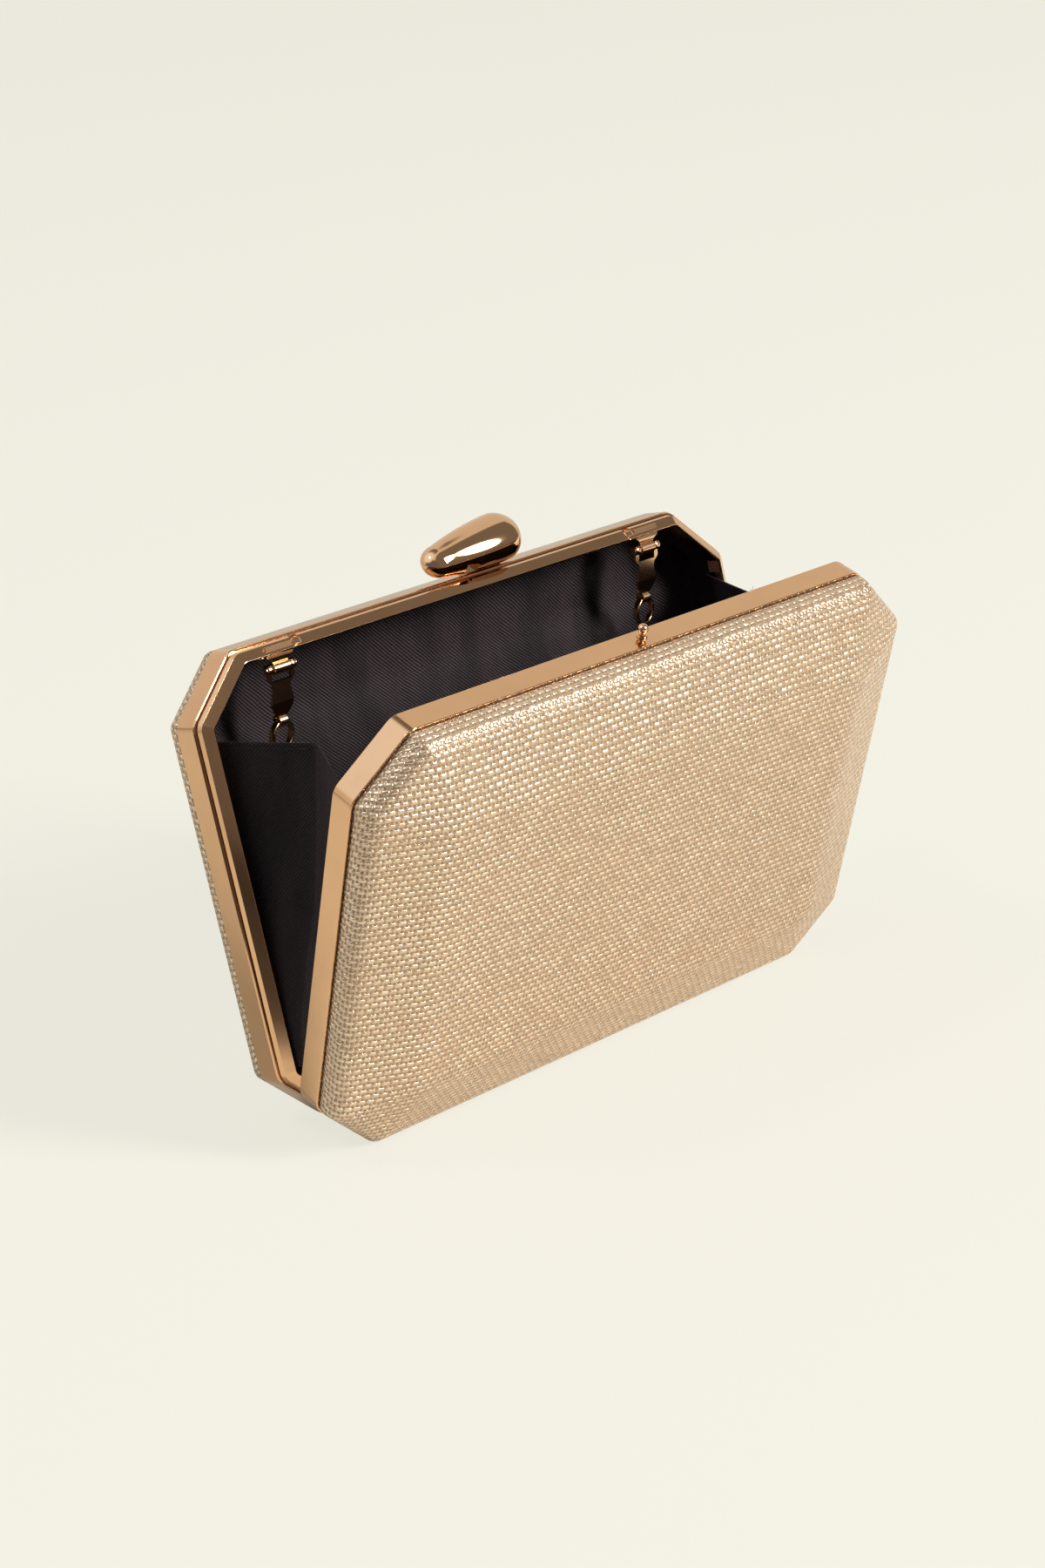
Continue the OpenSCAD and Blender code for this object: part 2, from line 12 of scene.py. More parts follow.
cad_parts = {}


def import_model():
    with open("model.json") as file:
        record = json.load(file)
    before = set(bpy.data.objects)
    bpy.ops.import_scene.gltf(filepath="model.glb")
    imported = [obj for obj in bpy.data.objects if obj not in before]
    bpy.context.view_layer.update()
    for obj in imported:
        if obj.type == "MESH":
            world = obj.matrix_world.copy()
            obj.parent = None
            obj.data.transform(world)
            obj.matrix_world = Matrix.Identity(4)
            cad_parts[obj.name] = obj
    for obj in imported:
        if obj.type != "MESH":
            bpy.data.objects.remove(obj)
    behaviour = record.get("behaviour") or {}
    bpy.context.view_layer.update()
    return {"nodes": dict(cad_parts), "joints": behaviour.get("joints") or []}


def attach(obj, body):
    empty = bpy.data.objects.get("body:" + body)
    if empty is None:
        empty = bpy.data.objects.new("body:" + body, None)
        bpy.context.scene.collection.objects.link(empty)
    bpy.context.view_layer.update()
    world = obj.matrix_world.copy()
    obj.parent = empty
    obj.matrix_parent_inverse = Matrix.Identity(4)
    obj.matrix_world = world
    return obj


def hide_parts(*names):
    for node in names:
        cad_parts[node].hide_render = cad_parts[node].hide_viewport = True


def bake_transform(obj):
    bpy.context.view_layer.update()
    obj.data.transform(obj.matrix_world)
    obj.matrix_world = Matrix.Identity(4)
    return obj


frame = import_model()
random.seed(7)

MM = 0.001
JOINTS = {j["name"]: j for j in frame["joints"]}
HINGE_Z = JOINTS["case_hinge"]["pos_m"][2] / MM
LEAN = math.radians(15)

# Sizes in millimetres. An inset runs inwards from the case's outline, and a depth runs
# outwards from the plane where the two halves meet.
CASE_W, CASE_H, CUT = 190.0, 130.0, 16.2
CASE_R, BAND_R, RIDGE_R = 2.5, 5.5, 5.4  # corners of the covers' walls, the bands and the faces
BAND = {"back": 9.0, "front": 7.6}
BACK_SHEET, FRONT_SHEET, MATE = 0.8, 0.7, 0.15

# The back frame's lip and its slope, the front frame's recess, and the chain notches
LIP_REACH, LIP_OUT, LIP_IN, FLOOR_D = 3.8, 0.9, 4.3, 4.1
SLOPE_LOW, SLOPE_HIGH = (1.3, -1.4), (3.85, 0.35 - LIP_REACH)
NOTCH_X, NOTCH_W, NOTCH_H = 59.7, 2.4, 1.2

HINGE_X, HINGE_LEN, KNUCKLES = 45.0, 24.0, 5
KNUCKLE_R, PIN_R, KNUCKLE_GAP = 1.6, 0.8, 0.25

# The covered shells: a wall that swells beside the band, a bevel and a flat face
COVER_SET, SWELL_SET, SWELL_RUN = 0.95, 0.35, 1.6
WALL_D, WALL_SET, WALL_ROUND = 14.4, 0.6, 4.2
FACE_D, FACE_SET, FACE_ROUND = 21.8, 22.5, 4.0
COVER_T, LINING_IN, LINING_T = 0.7, 2.0, 0.5
EDGE_D = {"back": 1.85, "front": 4.95}
SIDES = [3, 26, 3, 18, 3, 26, 3, 18]  # runs along each side, starting at an upper corner
SHELL_STEPS = 6

HEM_Z, GUSSET_LOW, FOLD_RUN, GUSSET_D, GUSSET_T = 108.5, 20.0, 12.4, 4.0, 0.5
GUSSET_GAP, STITCH_DROP, STITCHES = 0.3, 1.5, 17
FOLDS = [(0, 0), (0.15, 0.08), (0.34, 0.34), (0.5, 0.64), (0.7, 0.82), (1, 1)]

LUG_X, LUG_Z, LUG_FORE = 65.8, 122.0, 1.3
RING_TURN = math.radians(14)

CLASP_X, PIVOT_D, PIVOT_UP = 9.0, 3.6, 2.0  # the pivot stands PIVOT_UP above the case
STUD_X, STUD_D = 2.0, 3.2


def hand(side_x):
    return "left" if side_x < 0 else "right"


# Places

def place(side, points):
    """Points (x, out from the meeting plane, up from the hinge) of one half, in metres."""
    p = np.asarray(points, float)
    y = p[:, 2] * math.sin(LEAN) + p[:, 1] * math.cos(LEAN)
    z = HINGE_Z + p[:, 2] * math.cos(LEAN) - p[:, 1] * math.sin(LEAN)
    return np.column_stack([p[:, 0], y if side == "back" else -y, z]) * MM


def leg(inset):
    """How far a cut corner reaches along each side, on the octagon moved inwards."""
    return CUT - inset * (2 - math.sqrt(2))


def eight(inset):
    w, top, cut = CASE_W / 2 - inset, CASE_H - inset, leg(inset)
    return np.array([
        (w, top - cut), (w - cut, top), (cut - w, top), (-w, top - cut),
        (-w, inset + cut), (cut - w, inset), (w - cut, inset), (w, inset + cut),
    ])


def outline(inset, r, steps=6, sides=None):
    """The octagon moved inwards, its corners rounded and its sides cut into runs."""
    middles = eight(inset + r)
    points, arcs = [], []
    for k in range(8):
        a = np.radians(45 * (k + np.arange(steps + 1) / steps))
        arcs.append(middles[k] + r * np.column_stack([np.cos(a), np.sin(a)]))
    for k in range(8):
        points.extend(arcs[k])
        runs = sides[k] if sides else 1
        start, stop = arcs[k][-1], arcs[(k + 1) % 8][0]
        points.extend(start + (stop - start) * s / runs for s in range(1, runs))
    return np.array(points)


def filleted(points, radii, steps=3):
    """A closed outline with an arc at each corner."""
    out = []
    n = len(points)
    for i in range(n):
        p = np.array(points[i], float)
        a = np.array(points[i - 1], float) - p
        b = np.array(points[(i + 1) % n], float) - p
        r = radii[i]
        if r <= 0:
            out.append(p)
            continue
        a /= np.linalg.norm(a)
        b /= np.linalg.norm(b)
        half = math.acos(max(-1, min(1, float(a @ b)))) / 2
        run = r / math.tan(half)
        middle = p + (a + b) / np.linalg.norm(a + b) * r / math.sin(half)
        u, v = p + a * run - middle, p + b * run - middle
        turn = math.acos(max(-1, min(1, float(u @ v) / r / r)))
        for s in range(steps + 1):
            t = s / steps
            w = (math.sin((1 - t) * turn) * u + math.sin(t * turn) * v) / math.sin(turn)
            out.append(middle + w)
    return np.array(out)


# Mesh tools

def new_piece(name, verts, faces, smooth=40.0, uv=None):
    mesh = bpy.data.meshes.new(name)
    mesh.from_pydata([tuple(v) for v in verts], [], faces)
    bm = bmesh.new()
    bm.from_mesh(mesh)
    bmesh.ops.recalc_face_normals(bm, faces=bm.faces)
    bm.to_mesh(mesh)
    bm.free()
    if uv is not None:
        layer = mesh.uv_layers.new(name="weave")
        index = np.empty(len(mesh.loops), int)
        mesh.loops.foreach_get("vertex_index", index)
        layer.data.foreach_set("uv", np.asarray(uv, float)[index].ravel())
    obj = bpy.data.objects.new(name, mesh)
    bpy.context.scene.collection.objects.link(obj)
    shade(obj, smooth)
    return obj


def shade(obj, angle):
    mesh = obj.data
    mesh.shade_smooth()
    mesh.set_sharp_from_angle(angle=math.radians(angle))
    mesh.update()


def weighted(obj):
    m = obj.modifiers.new("normals", "WEIGHTED_NORMAL")
    m.keep_sharp = True
    m.weight = 80
    return obj


def bake(obj):
    """The object's modifiers applied to its mesh."""
    bpy.context.view_layer.update()
    graph = bpy.context.evaluated_depsgraph_get()
    mesh = bpy.data.meshes.new_from_object(obj.evaluated_get(graph))
    old = obj.data
    obj.modifiers.clear()
    obj.data = mesh
    mesh.name = obj.name
    bpy.data.meshes.remove(old)


def carve(obj, tool, how="DIFFERENCE"):
    m = obj.modifiers.new("carve", "BOOLEAN")
    m.object, m.operation, m.solver = tool, how, "EXACT"
    bake(obj)
    mesh = tool.data
    bpy.data.objects.remove(tool)
    bpy.data.meshes.remove(mesh)


def tube_between(rings, closed_ends=True, loop=False):
    """Faces between rings of as many points each."""
    m, n = len(rings), len(rings[0])
    faces = []
    for i in range(m if loop else m - 1):
        a, b = i * n, (i + 1) % m * n
        for j in range(n):
            k = (j + 1) % n
            faces.append((a + j, a + k, b + k, b + j))
    if closed_ends and not loop:
        faces.append(tuple(range(n - 1, -1, -1)))
        faces.append(tuple(range((m - 1) * n, m * n)))
    return np.concatenate(rings), faces


def round_bar(r, length, x, ease, steps=32, bore=0.0):
    """A bar along x with eased ends and, if asked, a bore, as points and faces."""
    half = length / 2
    line = [(r - ease, -half), (r - ease * 0.3, -half + ease * 0.3), (r, -half + ease),
            (r, half - ease), (r - ease * 0.3, half - ease * 0.3), (r - ease, half)]
    if bore:
        line += [(bore, half), (bore, -half)]
    a = np.linspace(0, 2 * math.pi, steps, endpoint=False)
    rings = [np.column_stack([np.full(steps, x + h), rr * np.cos(a), rr * np.sin(a)])
             for rr, h in line]
    return tube_between(rings, closed_ends=not bore, loop=bool(bore))


def about_path(path, r, aside, steps):
    """Rings of points about a path, which never runs along the direction aside."""
    path = np.array(path, float)
    angles = np.linspace(0, 2 * math.pi, steps, endpoint=False)
    rings = []
    for k in range(len(path)):
        t = path[min(k + 1, len(path) - 1)] - path[max(k - 1, 0)]
        t /= np.linalg.norm(t)
        a = np.cross(t, aside)
        a /= np.linalg.norm(a)
        b = np.cross(t, a)
        rings.append(path[k] + r * (np.cos(angles)[:, None] * a + np.sin(angles)[:, None] * b))
    return rings


def block(x0, x1, y0, y1, z0, z1):
    v = np.array([(x, y, z) for x in (x0, x1) for y in (y0, y1) for z in (z0, z1)], float)
    f = [(0, 1, 3, 2), (4, 6, 7, 5), (0, 4, 5, 1), (2, 3, 7, 6), (0, 2, 6, 4), (1, 5, 7, 3)]
    return v, f


def joined(parts):
    verts, faces, at = [], [], 0
    for v, f in parts:
        verts.append(np.asarray(v, float))
        faces.extend(tuple(i + at for i in face) for face in f)
        at += len(v)
    return np.concatenate(verts), faces


def lathe(line, steps):
    """Half outline (radius, height) turned about the height axis, with closed poles."""
    verts, faces, rings = [], [], []
    a = np.linspace(0, 2 * math.pi, steps, endpoint=False)
    for r, h in line:
        if r < 1e-6:
            rings.append([len(verts)])
            verts.append((0, 0, h))
        else:
            rings.append(list(range(len(verts), len(verts) + steps)))
            verts.extend((r * math.cos(t), r * math.sin(t), h) for t in a)
    for p, q in zip(rings, rings[1:]):
        for j in range(steps):
            k = (j + 1) % steps
            if len(p) == 1:
                faces.append((p[0], q[j], q[k]))
            elif len(q) == 1:
                faces.append((p[j], q[0], p[k]))
            else:
                faces.append((p[j], q[j], q[k], p[k]))
    return np.array(verts), faces


# Materials

class Graph:
    """Short calls for shader nodes. A value is a number, a colour or another node's socket."""

    def __init__(self, name=None, tree=None):
        """The nodes of a new material, or those of the tree given."""
        if tree is None:
            self.material = bpy.data.materials.new(name)
            self.material.use_nodes = True
            tree = self.material.node_tree
            tree.nodes.clear()
            self.out = tree.nodes.new("ShaderNodeOutputMaterial")
        self.tree = tree

    def put(self, socket, value):
        if isinstance(value, bpy.types.NodeSocket):
            self.tree.links.new(value, socket)
        elif value is not None:
            if hasattr(socket.default_value, "__len__") and not hasattr(value, "__len__"):
                value = [value] * len(socket.default_value)
            if hasattr(value, "__len__") and len(value) == 3 and len(socket.default_value) == 4:
                value = tuple(value) + (1.0,)
            socket.default_value = value

    def node(self, kind, *values):
        """A new shader node whose first inputs take these values."""
        n = self.tree.nodes.new("ShaderNode" + kind)
        for socket, value in zip(n.inputs, values):
            self.put(socket, value)
        return n

    def math(self, op, *values):
        n = self.node("Math", *values)
        n.operation = op
        return n.outputs[0]

    def vec(self, op, *values):
        n = self.node("VectorMath", *values)
        n.operation = op
        return n.outputs["Value" if op in ("DOT_PRODUCT", "LENGTH") else "Vector"]

    def mix(self, share, a, b):
        n = self.node("Mix")
        n.data_type = "RGBA"
        for key, value in (("Factor", share), (6, a), (7, b)):
            self.put(n.inputs[key], value)
        return n.outputs[2]

    def span(self, value, a, b, c=0.0, d=1.0, smooth=True):
        n = self.node("MapRange", value, a, b, c, d)
        n.interpolation_type = "SMOOTHSTEP" if smooth else "LINEAR"
        return n.outputs[0]

    def noise(self, where, scale, detail=2.0, rough=0.5, stretch=None):
        n = self.node("TexNoise", self.vec("MULTIPLY", where, stretch) if stretch else where)
        for key, value in (("Scale", scale), ("Detail", detail), ("Roughness", rough)):
            self.put(n.inputs[key], value)
        return n.outputs[0]

    def dots(self, where):
        n = self.node("TexWhiteNoise")
        n.noise_dimensions = "3D"
        self.put(n.inputs["Vector"], where)
        return n.outputs["Value"], n.outputs["Color"]

    def uv(self):
        n = self.node("UVMap")
        n.uv_map = "weave"
        return n.outputs[0]

    def here(self):
        return self.node("TexCoord").outputs["Object"]

    def parts(self, v):
        return self.node("SeparateXYZ", v).outputs

    def vector(self, x, y, z):
        return self.node("CombineXYZ", x, y, z).outputs[0]

    def bump(self, height, distance, strength=1.0, normal=None):
        n = self.node("Bump")
        for key, value in (("Strength", strength), ("Distance", distance),
                           ("Height", height), ("Normal", normal)):
            self.put(n.inputs[key], value)
        return n.outputs[0]

    def seen(self, share, first, second, out):
        """Two shaders mixed by share, put to an output node."""
        n = self.node("MixShader", share, first.outputs[0], second.outputs[0])
        self.put(out.inputs["Surface"], n.outputs[0])

    def surface(self, **values):
        n = self.node("BsdfPrincipled")
        for key, value in values.items():
            self.put(n.inputs[key.replace("_", " ")], value)
        self.put(self.out.inputs["Surface"], n.outputs[0])
        return self.material


def polished(name, tone, rough, wave):
    """Plated metal: a near mirror with faint rolling waves, hairlines and handling marks."""
    g = Graph(name)
    here = g.here()
    smudge = g.noise(here, 60.0, 4.0, 0.6)
    fine = g.noise(here, 900.0, 2.0)
    hair = g.noise(here, 300.0, 2.0, 0.5, stretch=(1.0, 9.0, 5.0))
    colour = g.mix(g.span(smudge, 0.35, 0.75), tone, tuple(c * 0.94 for c in tone))
    colour = g.mix(g.span(fine, 0.66, 0.8, 0.0, 0.25), colour, tuple(c * 0.7 for c in tone))
    roughness = g.math("ADD", g.span(smudge, 0.3, 0.8, rough, rough + 0.05),
                       g.span(hair, 0.6, 0.8, 0.0, 0.03))
    normal = g.bump(g.noise(here, 35.0, 1.0), 0.0004 * wave, 1.0)
    return g.surface(Base_Color=colour, Metallic=1.0, Roughness=roughness, Normal=normal)


def steel(name):
    g = Graph(name)
    here = g.here()
    lines = g.noise(here, 500.0, 3.0, 0.6, stretch=(0.2, 1.0, 1.0))
    colour = g.mix(lines, (0.50, 0.49, 0.47), (0.66, 0.65, 0.63))
    return g.surface(Base_Color=colour, Metallic=1.0, Roughness=g.span(lines, 0.2, 0.8, 0.2, 0.34),
                     Normal=g.bump(lines, 0.00003))


WARP, WEFT = 1.22, 1.82  # from one thread to the next, in millimetres
WARP_HALF = 0.42


def woven(name):
    """Coarse plain weave of foil yarn: rows of long bright nubs over a darker warp.

    The pattern's coordinates and the heights are in millimetres.
    """
    g = Graph(name)
    uv = g.uv()
    drift = g.noise(uv, 0.055, 2.0)
    drift2 = g.noise(g.vec("ADD", uv, (37.0, 11.0, 5.0)), 0.06, 2.0)
    wander = g.noise(g.vec("ADD", uv, (91.0, 3.0, 2.0)), 0.6, 1.0)
    u, v, _ = g.parts(uv)
    u = g.math("ADD", u, g.math("MULTIPLY_ADD", drift, 0.8, g.math("MULTIPLY", wander, 0.15)))
    v = g.math("ADD", v, g.math("MULTIPLY_ADD", drift2, 0.9, g.math("MULTIPLY", wander, 0.15)))
    j = g.math("ROUND", g.math("DIVIDE", v, WEFT))
    dv = g.math("SUBTRACT", v, g.math("MULTIPLY", j, WEFT))
    # each row's nubs stand half a pitch beside those of the next row
    shift = g.math("MULTIPLY", g.math("FLOORED_MODULO", j, 2.0), 0.5)
    a = g.math("SUBTRACT", g.math("DIVIDE", u, 2 * WARP), shift)
    i = g.math("ROUND", a)
    du = g.math("MULTIPLY", g.math("SUBTRACT", a, i), 2 * WARP)
    cell, tint = g.dots(g.vector(i, j, 1.0))
    row, _ = g.dots(g.vector(4.0, j, 2.0))
    tint_x, tint_y, tint_z = g.parts(tint)
    # nubs differ in length, thickness, height and tilt
    long = g.span(tint_z, 0.0, 1.0, 1.06, 1.18, smooth=False)
    fat = g.math("MULTIPLY_ADD", row, 0.6, g.math("MULTIPLY", tint_x, 0.4))
    thick = g.span(fat, 0.0, 1.0, 0.62, 0.72, smooth=False)
    far_u = g.math("POWER", g.math("ABSOLUTE", g.math("DIVIDE", du, long)), 4.0)
    far_v = g.math("POWER", g.math("ABSOLUTE", g.math("DIVIDE", dv, thick)), 2.0)
    nub = g.math("SUBTRACT", 1.0, g.math("ADD", far_u, far_v))
    dome = g.math("POWER", g.math("MAXIMUM", nub, 0.0), 0.55)
    weft = g.math("MULTIPLY_ADD", dome, 0.38, -0.02)
    # the warp shows beside the nubs and dips under them
    side = g.math("SUBTRACT", g.math("ABSOLUTE", du), WARP)
    side2 = g.math("POWER", g.math("ABSOLUTE", g.math("DIVIDE", side, WARP_HALF)), 2.0)
    over = g.math("COSINE", g.math("MULTIPLY", dv, math.pi / WEFT))
    warp = g.math("SUBTRACT", g.math("MULTIPLY", over, 0.14), g.math("MULTIPLY", side2, 0.04))
    under2 = g.math("POWER", g.math("ABSOLUTE", g.math("DIVIDE", du, WARP_HALF)), 2.0)
    low = g.math("SUBTRACT", g.math("MULTIPLY", g.math("SUBTRACT", 1.0, over), 0.07),
                 g.math("MULTIPLY", under2, 0.10))
    warp = g.math("MAXIMUM", warp, low)
    height = g.math("SMOOTH_MAX", g.math("SMOOTH_MAX", weft, warp, 0.05), -0.10, 0.05)
    lift = g.math("MULTIPLY", g.math("SUBTRACT", cell, 0.5), 0.06)
    tilt = g.math("ADD", g.math("MULTIPLY", du, g.math("MULTIPLY_ADD", tint_x, 0.16, -0.08)),
                  g.math("MULTIPLY", dv, g.math("MULTIPLY_ADD", tint_y, 0.46, -0.23)))
    height = g.math("ADD", height, g.math("MULTIPLY", dome, g.math("ADD", lift, tilt)))
    strand = g.noise(g.vec("MULTIPLY", uv, (0.35, 3.0, 1.0)), 1.6, 2.0)
    height = g.math("ADD", height, g.math("MULTIPLY", strand, 0.05))
    on_weft = g.span(g.math("SUBTRACT", weft, warp), -0.04, 0.05)
    hole = g.span(height, -0.01, -0.08)
    foil = g.mix(tint_z, (0.675, 0.51, 0.355), (0.78, 0.615, 0.445))
    # painted shade: the warp's colour darkens where it dips between the rows of nubs
    base = g.mix(g.span(over, -0.3, 0.8), (0.17, 0.092, 0.05), (0.45, 0.30, 0.185))
    colour = g.mix(on_weft, base, foil)
    mottle = g.noise(g.vec("ADD", uv, (13.0, 57.0, 7.0)), 0.09, 3.0, 0.6)
    colour = g.mix(g.span(mottle, 0.3, 0.7, 0.0, 0.25), colour, (0.60, 0.40, 0.25))
    # painted shade: the colour darkens in the holes between the threads
    colour = g.mix(g.math("MULTIPLY", hole, 0.85), colour, (0.14, 0.075, 0.04))
    rough = g.math("ADD", g.span(cell, 0.0, 1.0, 0.22, 0.36, smooth=False),
                   g.math("MULTIPLY", hole, 0.3))
    metal = g.math("MULTIPLY", g.span(on_weft, 0.0, 1.0, 0.35, 0.80, smooth=False),
                   g.math("SUBTRACT", 1.0, hole))
    return g.surface(Base_Color=colour, Metallic=metal, Roughness=rough,
                     Normal=g.bump(height, 0.001, 0.9))


def twill(name, turn=1.0, pitch=0.80, bright=1.0, painted_light_past_crease=None):
    """Black twill: fine diagonal ribs, a soft sheen and slow ripples from the padding."""
    g = Graph(name)
    uv = g.uv()
    u, v, _ = g.parts(uv)
    slow = g.noise(uv, 0.05, 2.0)
    across = g.math("ADD", u, g.math("MULTIPLY", v, turn))
    across = g.math("ADD", across, g.math("MULTIPLY", slow, 3.0))
    rib = g.math("SINE", g.math("MULTIPLY", across, 2 * math.pi / (pitch * math.sqrt(2))))
    along = g.math("SUBTRACT", u, g.math("MULTIPLY", v, turn))
    knot = g.math("SINE", g.math("ADD", g.math("MULTIPLY", along, 2 * math.pi / 0.5),
                                 g.math("MULTIPLY", across, 3.1)))
    height = g.math("ADD", g.math("MULTIPLY", rib, 0.5), g.math("MULTIPLY", knot, 0.16))
    fuzz = g.noise(uv, 3.0, 3.0, 0.7)
    light = g.math("ADD", g.span(height, 0.05, 0.6), g.math("MULTIPLY", fuzz, 0.3))
    dark = tuple(c * bright for c in (0.003, 0.0018, 0.002))
    pale = tuple(c * bright for c in (0.074, 0.047, 0.056))
    # painted highlight on the rib crests and painted shade in the grooves: the colour runs from
    # near black to pale with the rib's height
    colour = g.mix(g.math("MULTIPLY", light, 0.75), dark, pale)
    ripple = g.noise(g.vec("MULTIPLY", uv, (1.0, 0.35, 1.0)), 0.07, 2.0, 0.4)
    # painted shade: the colour darkens in the troughs of the padding's ripples
    colour = g.mix(g.span(ripple, 0.56, 0.38, 0.0, 0.6), colour, dark)
    if painted_light_past_crease:
        # painted light: past the crease, on the front panel, the colour is painted paler as if that
        # panel were lit more
        colour = g.mix(g.span(u, -0.2, 0.3, 0.0, 0.5), colour, painted_light_past_crease)
    normal = g.bump(ripple, 0.004, 1.0)
    normal = g.bump(height, 0.00014, 1.0, normal)
    return g.surface(Base_Color=colour, Roughness=g.span(light, 0.0, 1.0, 0.62, 0.45),
                     Specular_IOR_Level=0.26 * bright, Normal=normal, Sheen_Weight=0.10 * bright,
                     Sheen_Roughness=0.5, Sheen_Tint=(0.55, 0.38, 0.44))


def board(name):
    g = Graph(name)
    grain = g.noise(g.here(), 500.0, 4.0)
    return g.surface(Base_Color=g.mix(grain, (0.05, 0.045, 0.04), (0.10, 0.09, 0.08)),
                     Roughness=0.8, Normal=g.bump(grain, 0.0001))


def thread(name):
    g = Graph(name)
    twist = g.noise(g.here(), 2500.0, 2.0)
    return g.surface(Base_Color=g.mix(twist, (0.008, 0.006, 0.006), (0.03, 0.023, 0.025)),
                     Roughness=0.6, Normal=g.bump(twist, 0.00005))


M = {
    "frame": polished("rose_gold_band", (0.71, 0.425, 0.233), 0.07, 0.3),
    "fitting": polished("rose_gold_fitting", (0.72, 0.44, 0.25), 0.16, 0.5),
    "pebble": polished("gold_mirror", (0.73, 0.45, 0.255), 0.03, 0.12),
    "steel": steel("pin_steel_bright"),
    "woven": woven("foil_weave"),
    "twill": twill("twill_black"),
    # painted shade: the side panels' twill is a darker copy of the lining's twill
    "twill_side": twill("twill_black_side", turn=-1.0, bright=0.55,
                        painted_light_past_crease=(0.030, 0.019, 0.021)),
    "board": board("moulded_board"),
    "thread": thread("stitch_thread"),
}


def finish(obj, material, body, replaced=()):
    """The piece's material, the body it rides on, and the CAD nodes it stands for."""
    obj.data.materials.clear()
    obj.data.materials.append(M[material])
    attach(obj, body)
    if replaced:
        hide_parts(*replaced)
    return obj


# Bands

def swept(name, side, section, radii):
    """A sheet metal section led round the octagon."""
    line = filleted(section, radii)
    sides = [1, 12, 1, 8, 1, 12, 1, 8]
    rings = []
    for inset, depth in line:
        q = outline(inset, max(BAND_R - inset, 0.3), steps=8, sides=sides)
        rings.append(np.column_stack([q[:, 0], np.full(len(q), depth), q[:, 1]]))
    verts, faces = tube_between(rings, loop=True)
    return new_piece(name, place(side, verts), faces)


def hinge_bars(first, r, extra, bore=0.0):
    """Every second knuckle of both hinges."""
    pitch = HINGE_LEN / KNUCKLES
    bars = []
    for end in (-1, 1):
        for k in range(first, KNUCKLES, 2):
            x = end * HINGE_X + (k + 0.5 - KNUCKLES / 2) * pitch
            bars.append(round_bar(r, pitch + extra, x, ease=0.12 if bore else 0.2, bore=bore))
    return joined(bars)


def band(side):
    """One frame: the swept sheet with its hinge knuckles, and the back one's notches."""
    if side == "back":
        section = [
            (0.42, MATE), (0, 0.95), (0, BAND[side]), (BACK_SHEET, BAND[side]), (BACK_SHEET, 1.75),
            (1.75, 1.75), (2.0, 0.2), (3.55, -1.9), (3.55, 2.1), (LIP_IN, 2.1), (LIP_IN, -2.95),
            SLOPE_HIGH, SLOPE_LOW, (0.88, 0.1), (0.88, 0.9), (0.44, 0.9),
        ]
        radii = [0.1, 0.3, 0.28, 0.28, 0.1, 0.1, 0.2, 0.15, 0.28, 0.28,
                 0.35, 0.25, 0.2, 0.15, 0.1, 0.05]
    else:
        section = [
            (0, MATE), (0, BAND[side]), (FRONT_SHEET, BAND[side]), (FRONT_SHEET, 4.8), (3.6, 4.8),
            (3.6, 6.1), (LIP_IN, 6.1), (LIP_IN, FLOOR_D), (FRONT_SHEET, FLOOR_D),
            (FRONT_SHEET, MATE),
        ]
        radii = [0.3, 0.25, 0.25, 0.15, 0.15, 0.25, 0.25, 0.55, 0.15, 0.25]
    obj = swept(side + "_band", side, section, radii)
    own, other = (0, 1) if side == "back" else (1, 0)
    v, f = hinge_bars(other, KNUCKLE_R + KNUCKLE_GAP, KNUCKLE_GAP)
    carve(obj, new_piece("tool", place(side, v), f))
    v, f = joined([round_bar(PIN_R + 0.3, HINGE_LEN - 0.6, e * HINGE_X, ease=0.05)
                   for e in (-1, 1)])
    carve(obj, new_piece("tool", place(side, v), f))
    v, f = hinge_bars(own, KNUCKLE_R, -KNUCKLE_GAP, bore=PIN_R)
    carve(obj, new_piece("tool", place(side, v), f), "UNION")
    if side == "back":
        cuts = []
        for e in (-1, 1):
            cuts.append(block(e * NOTCH_X - NOTCH_W / 2, e * NOTCH_X + NOTCH_W / 2,
                              -5, -0.35, CASE_H - LIP_OUT - NOTCH_H, CASE_H - LIP_OUT + 0.04))
            # room for the lug clips behind the lip
            room, deep = 4.7, 3.0
            cuts.append(block(e * LUG_X - room, e * LUG_X + room, BACK_SHEET - LIP_REACH, deep,
                              CASE_H - LIP_IN - 1, CASE_H - LIP_IN + 0.95))
        for v, f in cuts:
            carve(obj, new_piece("tool", place(side, v), f))
    shade(obj, 38)
    weighted(obj)
    return finish(obj, "frame", side + "_case", [side + "_frame"])


# Covered shells

def beside(a, b):
    t = (b - a) / np.linalg.norm(b - a)
    return np.array([-t[1], t[0]])


def moved_in(line, depth):
    """An open line moved sideways by depth, its corners kept sharp."""
    out = []
    last = len(line) - 2
    for i, p in enumerate(line):
        a = beside(line[max(i, 1) - 1], line[max(i, 1)])
        b = beside(line[min(i, last)], line[min(i, last) + 1])
        out.append(p + depth * (a + b) / (1 + a @ b))
    return out


def eased(before, corner, after, run, steps):
    """A curve that rounds a corner from run before it to run after it."""
    a = corner + run * (before - corner) / np.linalg.norm(before - corner)
    b = corner + run * (after - corner) / np.linalg.norm(after - corner)
    u = np.linspace(0, 1, steps + 1)[:, None]
    return (1 - u) ** 2 * a + 2 * u * (1 - u) * corner + u ** 2 * b


